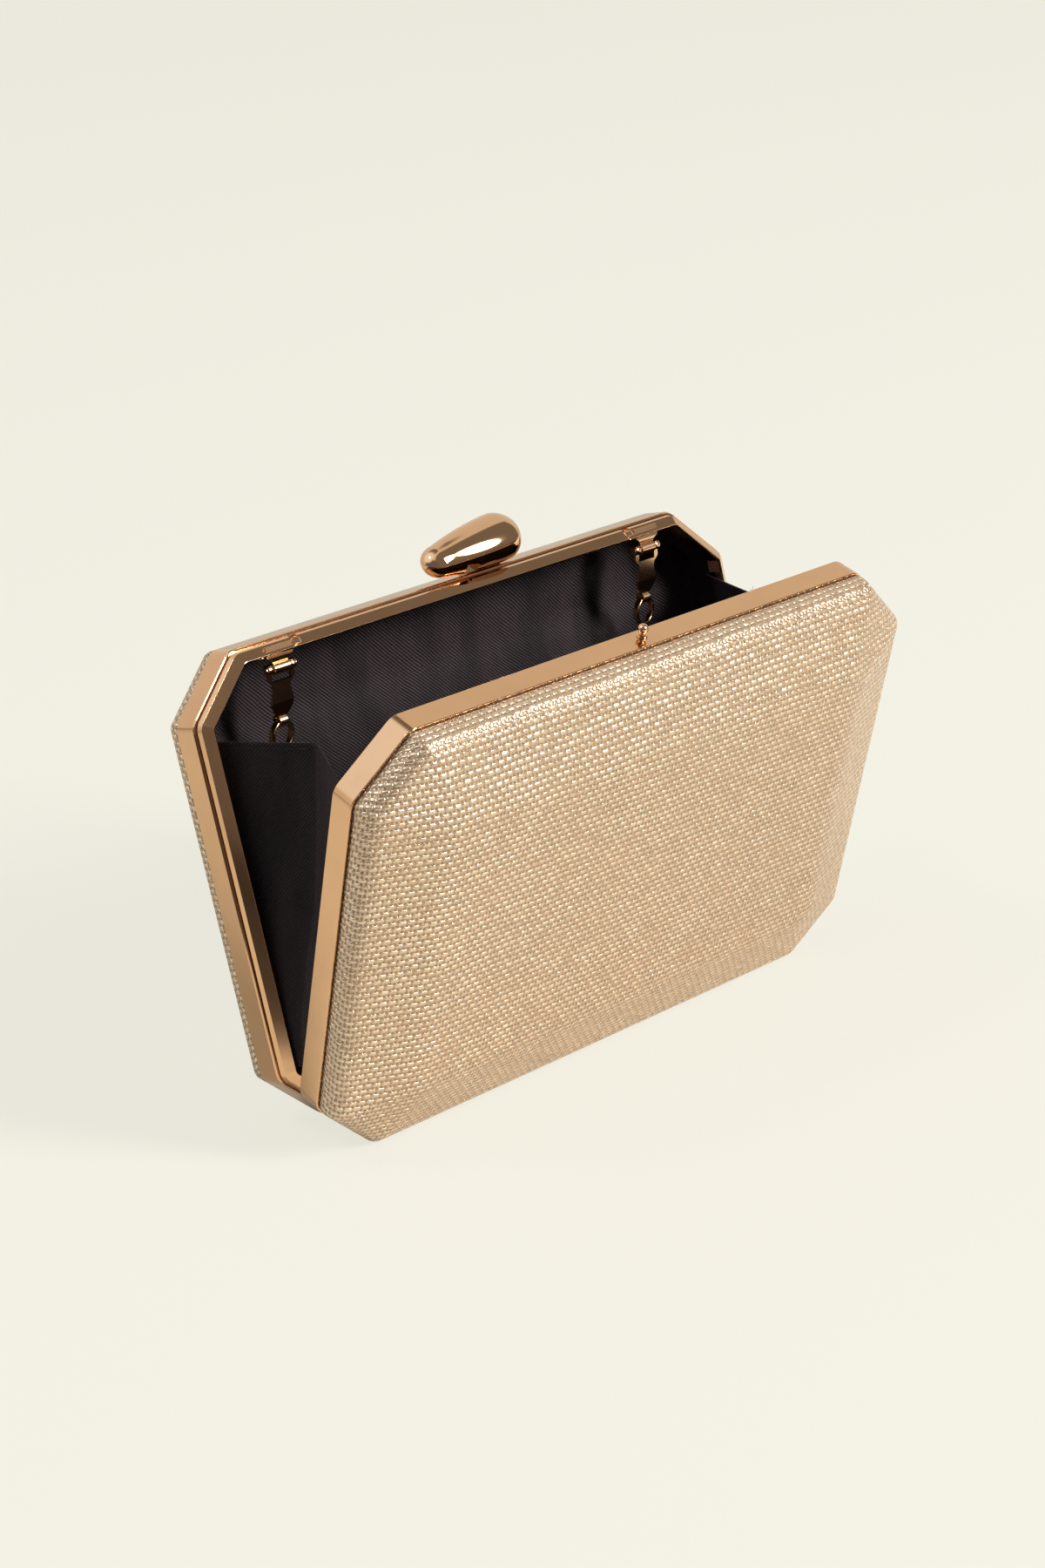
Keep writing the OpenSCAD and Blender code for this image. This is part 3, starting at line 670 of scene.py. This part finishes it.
def layer_line(side, edge, depth, steps=8):
    """Section of one layer from its edge to the face, cut into short runs."""
    line = moved_in([np.array(p, float) for p in [
        (edge, COVER_SET), (BAND[side], COVER_SET), (BAND[side] + SWELL_RUN, SWELL_SET),
        (WALL_D, WALL_SET), (FACE_D, FACE_SET), (FACE_D, FACE_SET + FACE_ROUND),
    ]], depth)
    longest = WALL_D - BAND[side] - SWELL_RUN - 0.2
    wall_run = max(min(WALL_ROUND, longest) - depth / 2, 0.8)
    wall = eased(line[2], line[3], line[4], wall_run, steps)
    ridge = eased(line[3], line[4], line[5], FACE_ROUND - depth / 4, steps)

    def straight(a, b, runs):
        return [a + (b - a) * s / runs for s in range(1, runs + 1)]

    return np.array([line[0], *straight(line[0], line[1], 4), *straight(line[1], line[2], 2),
                     *straight(line[2], wall[0], 3), *wall[1:],
                     *straight(wall[-1], ridge[0], 10), *ridge[1:]])


def plan_r(inset, depth):
    """Radius of the octagon's corners at this inset of the cover's outside."""
    grown = (inset - COVER_SET) / (FACE_SET - COVER_SET)
    free = CASE_R + (RIDGE_R - CASE_R) * max(0, min(1, grown))
    widest = leg(inset) / 2 / math.tan(math.radians(22.5))
    return max(0.1, min(free, widest) - depth)


def cup(name, side, outer, inner):
    """A layer of the covered shell, with a flat pattern that runs over its edges."""
    verts, uvs, faces, shells = [], [], [], []
    for depth in (outer, inner):
        line = layer_line(side, EDGE_D[side], depth)
        run = np.concatenate([[0], np.cumsum(np.linalg.norm(np.diff(line, axis=0), axis=1))])
        ridge = int(np.argmin(np.abs(line[:, 1] - FACE_SET - depth * 0.3)))
        starts = []
        for (d, inset), along in zip(line, run):
            r = plan_r(inset - depth, depth)
            ring = outline(inset, r, SHELL_STEPS, SIDES)
            starts.append(len(verts))
            verts.extend((x, d, z) for x, z in ring)
            uvs.extend(outline(line[ridge][1] - (run[ridge] - along), r, SHELL_STEPS, SIDES))
        shells.append(starts)
    count = len(ring)

    def bridge(a, b):
        faces.extend((a + j, a + (j + 1) % count, b + (j + 1) % count, b + j)
                     for j in range(count))

    for starts in shells:
        for a, b in zip(starts, starts[1:]):
            bridge(a, b)
        # the face closes in rings that shrink to its middle
        previous = starts[-1]
        ring = np.array(verts[previous:previous + count])
        ring_uv = np.array(uvs[previous:previous + count])
        middle, middle_uv = np.array([0.0, ring[0][1], CASE_H / 2]), np.array([0.0, CASE_H / 2])
        for share in (0.96, 0.86, 0.74, 0.62, 0.5, 0.38, 0.26, 0.14):
            at = len(verts)
            verts.extend(middle + (ring - middle) * share)
            uvs.extend(middle_uv + (ring_uv - middle_uv) * share)
            bridge(previous, at)
            previous = at
        verts.append(middle)
        uvs.append(middle_uv)
        faces.extend((previous + j, previous + (j + 1) % count, len(verts) - 1)
                     for j in range(count))
    bridge(shells[0][0], shells[1][0])
    return new_piece(name, place(side, np.array(verts)), faces, smooth=50, uv=uvs)


def layers(side):
    cloth = cup(side + "_cloth", side, 0.0, COVER_T)
    finish(cloth, "woven", side + "_case", [side + "_cover"])
    lining = cup(side + "_twill", side, LINING_IN, LINING_IN + LINING_T)
    finish(lining, "twill", side + "_case", [side + "_lining"])


# Gussets

def fold_at(share):
    """How much of its full depth the fold has, at this share of the gusset's height."""
    for (a, fa), (b, fb) in zip(FOLDS, FOLDS[1:]):
        if share <= b:
            t = (share - a) / (b - a)
            return fa + (fb - fa) * t
    return FOLDS[-1][1]


def gusset(side_x):
    """A side panel folded inwards down its middle, with a turned hem and its stitches."""
    name = hand(side_x) + "_gusset"
    edge_x = CASE_W / 2 - LIP_IN - GUSSET_GAP
    long = HEM_Z - GUSSET_LOW
    sunk = 0.25  # the cloth lies this far inside the fold's line
    cols, rows = 30, 44

    def point(s, t):
        """s runs from the back edge to the front edge, t from the low end to the hem."""
        z = GUSSET_LOW + t * long
        y = z * math.sin(LEAN) + GUSSET_D * math.cos(LEAN)
        edge_z = z * math.cos(LEAN) - GUSSET_D * math.sin(LEAN)
        away = abs(2 * s - 1)
        # the crease is rounded over a short run
        soft = (math.sqrt(away * away + 0.0004) - 0.02) / (math.sqrt(1.0004) - 0.02)
        fold = fold_at(t) * FOLD_RUN
        x = edge_x - fold * (1 - soft)
        bow = math.sin(math.pi * min(1, away)) * math.sin(math.pi * t)
        x += bow * 0.7 * math.sin(3.1 * t + (1.2 if s < 0.5 else 2.6))
        x += 0.25 * bow * math.sin(9 * t + 7 * s)
        zz = edge_z + (z - edge_z) * (1 - away)
        yy = y * (1 - 2 * s)
        return np.array([x, yy, zz])

    s_list = np.linspace(0, 1, cols + 1)
    s_list = 0.5 + 0.5 * np.sign(s_list - 0.5) * np.abs(2 * s_list - 1) ** 1.25
    down = [5.4, 5.1, 4.7, 4.3, 3.2, 2.2, 1.6, 1.3, 1.15, 0.95, 0.7, 0.45, 0.25, 0.1, 0.0]
    t_list = np.concatenate([np.linspace(0, 1 - 6.5 / long, rows), 1 - np.array(down) / long])
    mid = np.array([point(s, t) for t in t_list for s in s_list])
    n, m = cols + 1, len(t_list)
    shaped = mid.reshape(m, n, 3)
    ds = np.gradient(shaped, axis=1)
    dt = np.gradient(shaped, axis=0)
    normal = np.cross(ds, dt)
    normal /= np.linalg.norm(normal, axis=2, keepdims=True)
    if (normal[..., 0]).mean() < 0:
        normal = -normal
    # the hem is doubled over its last five millimetres and its edge is rolled
    height = t_list * long
    hem = np.clip((height - (height[-1] - 5.2)) / 0.8, 0, 1)
    roll = np.sqrt(np.clip(1 - ((height - (height[-1] - 0.62)) / 0.63) ** 2, 0, 1))
    swell = np.maximum(0.1 * hem * (height < height[-1] - 0.6), 0.4 * roll - 0.18)
    half = (GUSSET_T / 2 - 0.05 + swell)[:, None, None]
    outer = shaped + normal * half - normal * sunk
    inner = shaped - normal * half - normal * sunk
    verts = np.concatenate([outer.reshape(-1, 3), inner.reshape(-1, 3)])
    quads = [(r * n + c, r * n + c + 1, (r + 1) * n + c + 1, (r + 1) * n + c)
             for r in range(m - 1) for c in range(n - 1)]
    size = n * m
    faces = quads + [tuple(size + k for k in reversed(q)) for q in quads]
    rim = list(range(n)) + [r * n + n - 1 for r in range(1, m)]
    rim += [(m - 1) * n + c for c in range(n - 2, -1, -1)] + [r * n for r in range(m - 2, 0, -1)]
    for a, b in zip(rim, rim[1:] + rim[:1]):
        faces.append((a, b, size + b, size + a))
    # the flat pattern: across from the crease, and up from the low end
    across = np.cumsum(np.linalg.norm(np.diff(shaped, axis=1), axis=2), axis=1)
    run = np.concatenate([np.zeros((m, 1)), across], axis=1)
    run -= run[:, n // 2][:, None]
    uv = np.column_stack([run.ravel(), np.repeat(height, n)])
    uv = np.concatenate([uv, uv])
    shares = np.tile(s_list, 2 * m)

    def out(points):
        p = np.array(points, float)
        p[:, 0] *= side_x
        p[:, 2] += HINGE_Z
        return p * MM

    cloth = new_piece(name + "_cloth", out(verts), faces, smooth=70, uv=uv)

    # stitches run below the hem's edge, with a few loose ends at the crease
    tubes, weights = [], []

    def strand(path, r, share):
        steps = 6
        tubes.append(tube_between(about_path(path, r, (0.3, 0.2, 1.0), steps)))
        weights.extend([share] * (steps * len(path)))

    t = 1 - STITCH_DROP / long
    for k in range(STITCHES):
        s0, s1 = (k + 0.2) / STITCHES, (k + 0.82) / STITCHES
        if s0 < 0.5 < s1:
            continue
        path = []
        for w, lift in ((0, 0.02), (0.2, 0.16), (0.5, 0.2), (0.8, 0.16), (1, 0.02)):
            s = s0 + (s1 - s0) * w
            e = 0.01
            nn = np.cross(point(s + e, t) - point(s - e, t), point(s, t) - point(s, t - e))
            nn /= np.linalg.norm(nn)
            if nn[0] < 0:
                nn = -nn
            path.append(point(s, t) + nn * (GUSSET_T / 2 + 0.07 - sunk + lift * 0.6))
        strand(path, 0.06, (s0 + s1) / 2)
    for _ in range(7):
        t0 = 1.0 - random.uniform(0, 0.012)
        s0 = 0.5 + random.uniform(0.0, 0.05)
        path = [point(s0, t0) + np.array([0.1, 0, 0.0])]
        d = np.array([random.uniform(-0.2, 0.7), random.uniform(-0.6, 0.3),
                      random.uniform(0.1, 0.8)])
        for _ in range(5):
            d = d + np.array([random.uniform(-0.4, 0.4) for _ in range(3)]) * 0.8
            d /= np.linalg.norm(d)
            path.append(path[-1] + d * 0.42)
        strand(path, 0.045, s0)
    v, f = joined(tubes)
    seam = new_piece(name + "_stitches", out(v), f, smooth=80)
    for obj, share, material in ((cloth, shares, "twill_side"),
                                 (seam, np.array(weights), "thread")):
        obj.data.materials.append(M[material])
        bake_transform(obj)
    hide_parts(name)
    return cloth


# Clasp

def pebble():
    """The thumb piece: an egg laid over the case's top edge, hollowed for lever and stud."""
    wide, narrow, length = 7.1, 4.6, 22.0
    lean = math.asin((wide - narrow) / length)
    steps = 24
    line = []
    for s in range(steps + 1):
        a = -math.pi / 2 + s / steps * (math.pi / 2 + lean)
        line.append((0.0 if s == 0 else narrow * math.cos(a), narrow * math.sin(a)))
    start = np.array(line[-1])
    stop = np.array([wide * math.cos(lean), length + wide * math.sin(lean)])
    line.extend(tuple(start + (stop - start) * s / 8) for s in range(1, 8))
    for s in range(steps + 1):
        a = lean + s / steps * (math.pi / 2 - lean)
        line.append((0.0 if s == steps else wide * math.cos(a), length + wide * math.sin(a)))
    # a share of an egg between the same ends rounds the straight flanks
    reach, mid = (length + wide + narrow) / 2, (length + wide - narrow) / 2
    share, belly, blunt = 0.3, 7.8, 0.197
    egg = []
    for r, h in line:
        u = max(-1.0, min(1.0, (h - mid) / reach))
        full = belly * math.sqrt(1 - u * u) * (1 + blunt * u)
        egg.append(((1 - share) * r + share * full if r else 0.0, h))
    verts, faces = lathe(egg, 96)
    # flatter across than from front top to back bottom
    flatter, wider = 0.88, 1.07
    up, out = -verts[:, 0], verts[:, 1].copy()
    across = flatter * (up - out) / math.sqrt(2)
    slant = wider * (up + out) / math.sqrt(2)
    verts[:, 0], verts[:, 1] = -(across + slant) / math.sqrt(2), (slant - across) / math.sqrt(2)
    # laid along the case, its narrow end lifted
    gap, lifted, end_x, middle_d = 0.3, 0.7, 6.5, 1.5
    rise = wide - narrow - lifted
    run = math.sqrt(length * length - rise * rise)
    turn = math.atan2(run, rise)
    x = verts[:, 0] * math.cos(turn) + verts[:, 2] * math.sin(turn)
    z = -verts[:, 0] * math.sin(turn) + verts[:, 2] * math.cos(turn)
    local = np.column_stack([x + CLASP_X + end_x - run, verts[:, 1] + middle_d,
                             z + CASE_H + gap + lifted + narrow])
    obj = new_piece("pebble", place("back", local), faces, smooth=60)
    # pockets for the lever's ears and its foot, and a channel for the stud
    swing, foot, pocket = math.hypot(1.4, 1.4), 2.6, (CLASP_X - 6.4, CLASP_X + 6.4)
    below, ear_high, foot_high = 1, 2.05, 1.4
    channel_r, channel_up, channel_down, channel_run = 2.1, 2.0, 4.0, (-14.2, -1.1)
    bend = [(channel_r * math.cos(a), channel_r * math.sin(a)) for a in np.linspace(math.pi, 0, 17)]
    arch = [(-channel_r, -channel_down)] + bend + [(channel_r, -channel_down)]
    tools = [
        block(*pocket, PIVOT_D - swing, PIVOT_D + swing,
              CASE_H - below, CASE_H + PIVOT_UP + ear_high),
        block(*pocket, PIVOT_D - foot, PIVOT_D + foot, CASE_H - below, CASE_H + foot_high),
        tube_between([np.array([(STUD_X + x, d, CASE_H + channel_up + z) for x, z in arch])
                      for d in channel_run]),
    ]
    for v, f in tools:
        carve(obj, new_piece("tool", place("back", v), f))
    shade(obj, 40)
    return finish(obj, "pebble", "clasp", ["clasp_pebble"])


def stud():
    """The catch: a ball on a short neck and a flat foot."""
    ball, high, neck = 1.42, 2.3, 0.8
    line = [(0.0, 0.0), (1.4, 0.0), (1.47, 0.08), (1.47, 0.42), (1.38, 0.54), (1.05, 0.62),
            (0.84, 0.7), (0.78, 0.8)]
    low = math.acos(neck / ball)
    steps = 24
    for s in range(steps + 1):
        a = -low + s / steps * (low + math.pi / 2)
        line.append((0.0 if s == steps else ball * math.cos(a), high + ball * math.sin(a)))
    v, f = lathe(line, 40)
    local = np.column_stack([v[:, 0] + STUD_X, v[:, 1] + STUD_D, v[:, 2] + CASE_H])
    obj = new_piece("ball_stud", place("front", local), f, smooth=35)
    return finish(obj, "pebble", "front_case", ["catch_stud"])


def spring():
    """Torsion spring: a coil about the pivot and one leg down to the plate."""
    bore, wire, coil = 0.73, 0.37, 3.0
    mid = bore + wire / 2
    half_base, ear, ear_gap = 6, 1, 0.15
    left = CLASP_X + half_base - ear - ear_gap - coil
    turns, steps = 6.75, 180
    path = []
    for s in range(steps + 1):
        a = 2 * math.pi * turns * s / steps + math.pi / 2
        x = left + wire / 2 + (coil - wire) * s / steps
        path.append((x, PIVOT_D + mid * math.cos(a), CASE_H + PIVOT_UP + mid * math.sin(a)))
    end = np.array(path[-1])
    tail = [end + np.array([0, 0.1 * k, -0.22 * k]) for k in range(1, 5)]
    path += [tuple(t) for t in tail if t[2] > CASE_H + 0.9]
    rings = about_path(path, wire / 2 * 0.94, (1.0, 0.05, 0.0), 8)
    v, f = tube_between(rings)
    obj = new_piece("spring_coil", place("back", v), f, smooth=80)
    return finish(obj, "steel", "back_case", ["clasp_spring"])


# Small fittings from their solids

def softened(node, name, body, material, width):
    """The node's own solid with its sharp edges eased."""
    mesh = frame["nodes"][node].data.copy()
    obj = bpy.data.objects.new(name, mesh)
    bpy.context.scene.collection.objects.link(obj)
    bm = bmesh.new()
    bm.from_mesh(mesh)
    bmesh.ops.remove_doubles(bm, verts=bm.verts, dist=1e-6)
    bmesh.ops.dissolve_limit(bm, angle_limit=math.radians(1.0), verts=bm.verts, edges=bm.edges)
    bmesh.ops.recalc_face_normals(bm, faces=bm.faces)
    bm.to_mesh(mesh)
    bm.free()
    m = obj.modifiers.new("ease", "BEVEL")
    m.width, m.segments, m.limit_method = width * MM, 2, "ANGLE"
    m.angle_limit = math.radians(30)
    m.harden_normals = False
    bake(obj)
    shade(obj, 35)
    weighted(obj)
    return finish(obj, material, body, [node])


def chain_ring(side_x):
    """A flat ring that hangs a little turned in its strap's eye."""
    side = hand(side_x)
    outer, thick, width = 4.3, 0.7, 1.9
    section = filleted([(outer, -width / 2), (outer, width / 2),
                        (outer - thick, width / 2), (outer - thick, -width / 2)], [0.28] * 4, 3)
    middle = np.array(JOINTS[side + "_ring_swing"]["pos_m"]) / MM
    c, s = math.cos(RING_TURN), math.sin(RING_TURN)
    rings = []
    for a in np.linspace(0, 2 * math.pi, 72, endpoint=False):
        flat = np.array([(r * math.cos(a), y, r * math.sin(a)) for r, y in section])
        turned = np.column_stack([flat[:, 0] * c - flat[:, 1] * s,
                                  flat[:, 0] * s + flat[:, 1] * c, flat[:, 2]])
        rings.append(turned + middle - (0, 0, outer - thick / 2))
    v, f = tube_between(rings, loop=True)
    obj = new_piece(side + "_ring_band", v * MM, f, smooth=40)
    return finish(obj, "fitting", side + "_ring", [side + "_chain_ring"])


def lug_clip(side_x):
    """A strip that comes down behind the lip, narrows, and is rolled round the lug pin."""
    side = hand(side_x)
    thick, pin_gap_r, narrow, wide = 0.7, 1.7, 5.4, 9.0
    r = pin_gap_r - thick / 2
    back = LUG_FORE + BACK_SHEET - LIP_REACH + 0.05 + thick / 2
    path = [(back, 6.15), (back, 5.0), (back, 3.9), (back, 3.1),
            (back + 0.12, 2.6), (back + 0.45, 2.1), (back + 0.82, 1.55)]
    tail = len(path)
    path.extend((r * math.cos(a), r * math.sin(a)) for a in np.radians(np.linspace(28, -250, 30)))
    path = np.array(path)
    rings = []
    for k, (d, z) in enumerate(path):
        t = path[min(k + 1, len(path) - 1)] - path[max(k - 1, 0)]
        t /= np.linalg.norm(t)
        grown = max(0, min(1, (z - 2.4) / 0.9)) if k < tail else 0
        w, half, e = (narrow + (wide - narrow) * grown) / 2, thick / 2, 0.18
        corners = [(-w, half - e), (-w + e, half), (w - e, half), (w, half - e),
                   (w, -half + e), (w - e, -half), (-w + e, -half), (-w, -half + e)]
        rings.append(np.array([(side_x * LUG_X + x, -LUG_FORE + d - t[1] * o, LUG_Z + z + t[0] * o)
                               for x, o in corners]))
    v, f = tube_between(rings)
    obj = new_piece(side + "_clip_strip", place("back", v), f, smooth=35)
    return finish(obj, "fitting", "back_case", [side + "_lug_clip"])


def notch_pad(side_x):
    """A small square button on the lip's slope, beside the notch."""
    slope = math.atan2(SLOPE_HIGH[1] - SLOPE_LOW[1], SLOPE_HIGH[0] - SLOPE_LOW[0])
    middle_set, middle_d = 2.65, -2.45
    rings = []
    for size, lift in ((1.32, -0.25), (1.36, 0.2), (1.26, 0.36),
                       (1.05, 0.42), (0.98, 0.33), (0.3, 0.32)):
        high = size * 0.82
        q = filleted([(-size, -high), (size, -high), (size, high), (-size, high)],
                     [size * 0.25] * 4, 3)
        inset = middle_set - q[:, 1] * math.cos(slope) + lift * math.sin(slope)
        depth = middle_d - q[:, 1] * math.sin(slope) - lift * math.cos(slope)
        rings.append(np.column_stack([side_x * NOTCH_X + q[:, 0], depth, CASE_H - inset]))
    v, f = tube_between(rings)
    obj = new_piece(hand(side_x) + "_notch_pad", place("back", v), f, smooth=35)
    return finish(obj, "fitting", "back_case")


# The bag

for half in ("back", "front"):
    band(half)
    layers(half)
for side_x in (-1, 1):
    gusset(side_x)
    chain_ring(side_x)
    lug_clip(side_x)
    notch_pad(side_x)
    label = hand(side_x)
    softened(label + "_chain_tab", label + "_tab_strap", label + "_tab",
             "fitting", 0.16)
pebble()
stud()
spring()
softened("clasp_base", "clasp_plate", "back_case", "fitting", 0.12)
softened("clasp_lever", "clasp_arm", "clasp", "fitting", 0.1)

# the nodes that are carried as they are
for node, material in (("back_shell", "board"), ("front_shell", "board"),
                       ("left_hinge_pin", "steel"), ("right_hinge_pin", "steel"),
                       ("left_lug_pin", "fitting"), ("right_lug_pin", "fitting"),
                       ("clasp_pin", "steel")):
    obj = frame["nodes"][node]
    obj.data.materials.clear()
    obj.data.materials.append(M[material])


# Floor, lights, camera

BACKDROP = (0.885, 0.868, 0.772)
# The camera stands FAR metres from AIM, a point in millimetres from the hinge
AZIMUTH, ELEVATION, ROLL = math.radians(-39.802), math.radians(22.875), math.radians(-2.786)
LENS, SENSOR, FAR = 67.37, 36.0, 0.799
AIM = (-10.068, 0, 76.189)


def floor():
    """Pale paper that takes the bag's shadow and has the backdrop's tone for the camera."""
    bpy.ops.mesh.primitive_plane_add(size=14.0, location=(0, 0, 0))
    obj = bpy.context.object
    obj.name = "studio_floor"
    g = Graph("floor_paper")
    grain = g.noise(g.here(), 900.0, 3.0)
    paper = g.mix(grain, (0.80, 0.785, 0.70), (0.83, 0.815, 0.725))
    # the paper ends in front of the bag and to its left, and diffuse rays see all of it
    # darker; the camera sees neither
    x, y, _ = g.parts(g.here())
    ray = g.node("LightPath").outputs
    left_end = g.math("MULTIPLY", g.span(x, -0.29, -0.38), g.span(y, 0.16, 0.02))
    ends = g.math("MAXIMUM", g.span(y, -0.62, -0.85), left_end)
    ends = g.math("MAXIMUM", ends, g.math("MULTIPLY", ray["Is Diffuse Ray"], 0.30))
    ends = g.math("MULTIPLY", ends, g.math("SUBTRACT", 1.0, ray["Is Camera Ray"]))
    shaded = g.node("BsdfDiffuse", g.mix(ends, paper, (0.07, 0.062, 0.057)))
    glow = g.node("Emission", BACKDROP)
    g.seen(g.math("MULTIPLY", ray["Is Camera Ray"], 0.84), shaded, glow, g.out)
    obj.data.materials.append(g.material)


def world():
    """A pale room, darker overhead, behind the camera and beside it, with a high window."""
    w = bpy.data.worlds.new("studio")
    w.use_nodes = True
    bpy.context.scene.world = w
    g = Graph(tree=w.node_tree)
    g.tree.nodes.clear()
    way = g.node("TexCoord").outputs["Generated"]
    colour = (0.84, 0.81, 0.73)
    for towards, near, full, tone in (
        ((0.02, 0.36, 0.93), 0.93, 0.965, (0.25, 0.225, 0.20)),
        ((0.42, -0.86, 0.28), 0.38, 0.46, (0.24, 0.225, 0.21)),
        ((-0.93, -0.34, 0.14), 0.62, 0.80, (0.20, 0.18, 0.17)),
        ((-0.56, 0.30, 0.78), 0.78, 0.94, (1.10, 1.22, 1.32)),
    ):
        facing = g.vec("DOT_PRODUCT", way, Vector(towards).normalized())
        colour = g.mix(g.span(facing, near, full), colour, tone)
    ray = g.node("LightPath").outputs
    strength = g.span(ray["Is Diffuse Ray"], 0.0, 1.0, 1.0, 0.72, smooth=False)
    g.seen(ray["Is Camera Ray"], g.node("Background", colour, strength),
           g.node("Background", BACKDROP), g.node("OutputWorld"))


def softbox(name, azimuth, elevation, distance, width, height, power, colour):
    """An area light; azimuth is from the front towards +X, in degrees."""
    a, e = math.radians(azimuth), math.radians(elevation)
    way = Vector((math.sin(a) * math.cos(e), -math.cos(a) * math.cos(e), math.sin(e)))
    data = bpy.data.lights.new(name, "AREA")
    data.shape, data.size, data.size_y = "ELLIPSE", width, height
    data.energy, data.color = power, colour
    # brighter in the middle than towards its rim
    data.use_nodes = True
    g = Graph(tree=data.node_tree)
    where = g.node("TexCoord").outputs["UV"]
    far = g.vec("LENGTH", g.vec("SUBTRACT", where, (0.5, 0.5, 0.0)))
    g.put(g.tree.nodes["Emission"].inputs["Strength"], g.span(far, 0.50, 0.22, 0.0, 1.55))
    obj = bpy.data.objects.new(name, data)
    bpy.context.scene.collection.objects.link(obj)
    obj.location = Vector((0, 0, 0.08)) + way * distance
    obj.rotation_euler = way.to_track_quat("Z", "Y").to_euler()
    obj.visible_camera = False


def camera():
    """The photograph's own camera, solved from the corners of both frames."""
    back = Vector((math.sin(AZIMUTH) * math.cos(ELEVATION),
                   -math.cos(AZIMUTH) * math.cos(ELEVATION), math.sin(ELEVATION)))
    right = Vector((math.cos(AZIMUTH), math.sin(AZIMUTH), 0))
    up = back.cross(right)
    r = right * math.cos(ROLL) + up * math.sin(ROLL)
    u = -right * math.sin(ROLL) + up * math.cos(ROLL)
    data = bpy.data.cameras.new("camera")
    data.lens, data.sensor_width, data.sensor_fit = LENS, SENSOR, "AUTO"
    data.clip_start, data.clip_end = 0.01, 60.0
    obj = bpy.data.objects.new("camera", data)
    bpy.context.scene.collection.objects.link(obj)
    rot = Matrix((r, u, back)).transposed().to_4x4()
    spot = Vector((AIM[0], AIM[1], AIM[2] + HINGE_Z)) * MM + back * FAR
    obj.matrix_world = Matrix.Translation(spot) @ rot
    bpy.context.scene.camera = obj


floor()
world()
softbox("key_softbox", 27, 31, 3.0, 0.80, 2.10, 150.0, (1.0, 0.985, 0.96))
softbox("small_box", -112, 57, 1.5, 0.34, 0.20, 3.0, (1.0, 0.98, 0.95))
camera()
bpy.context.scene.view_settings.view_transform = "Standard"
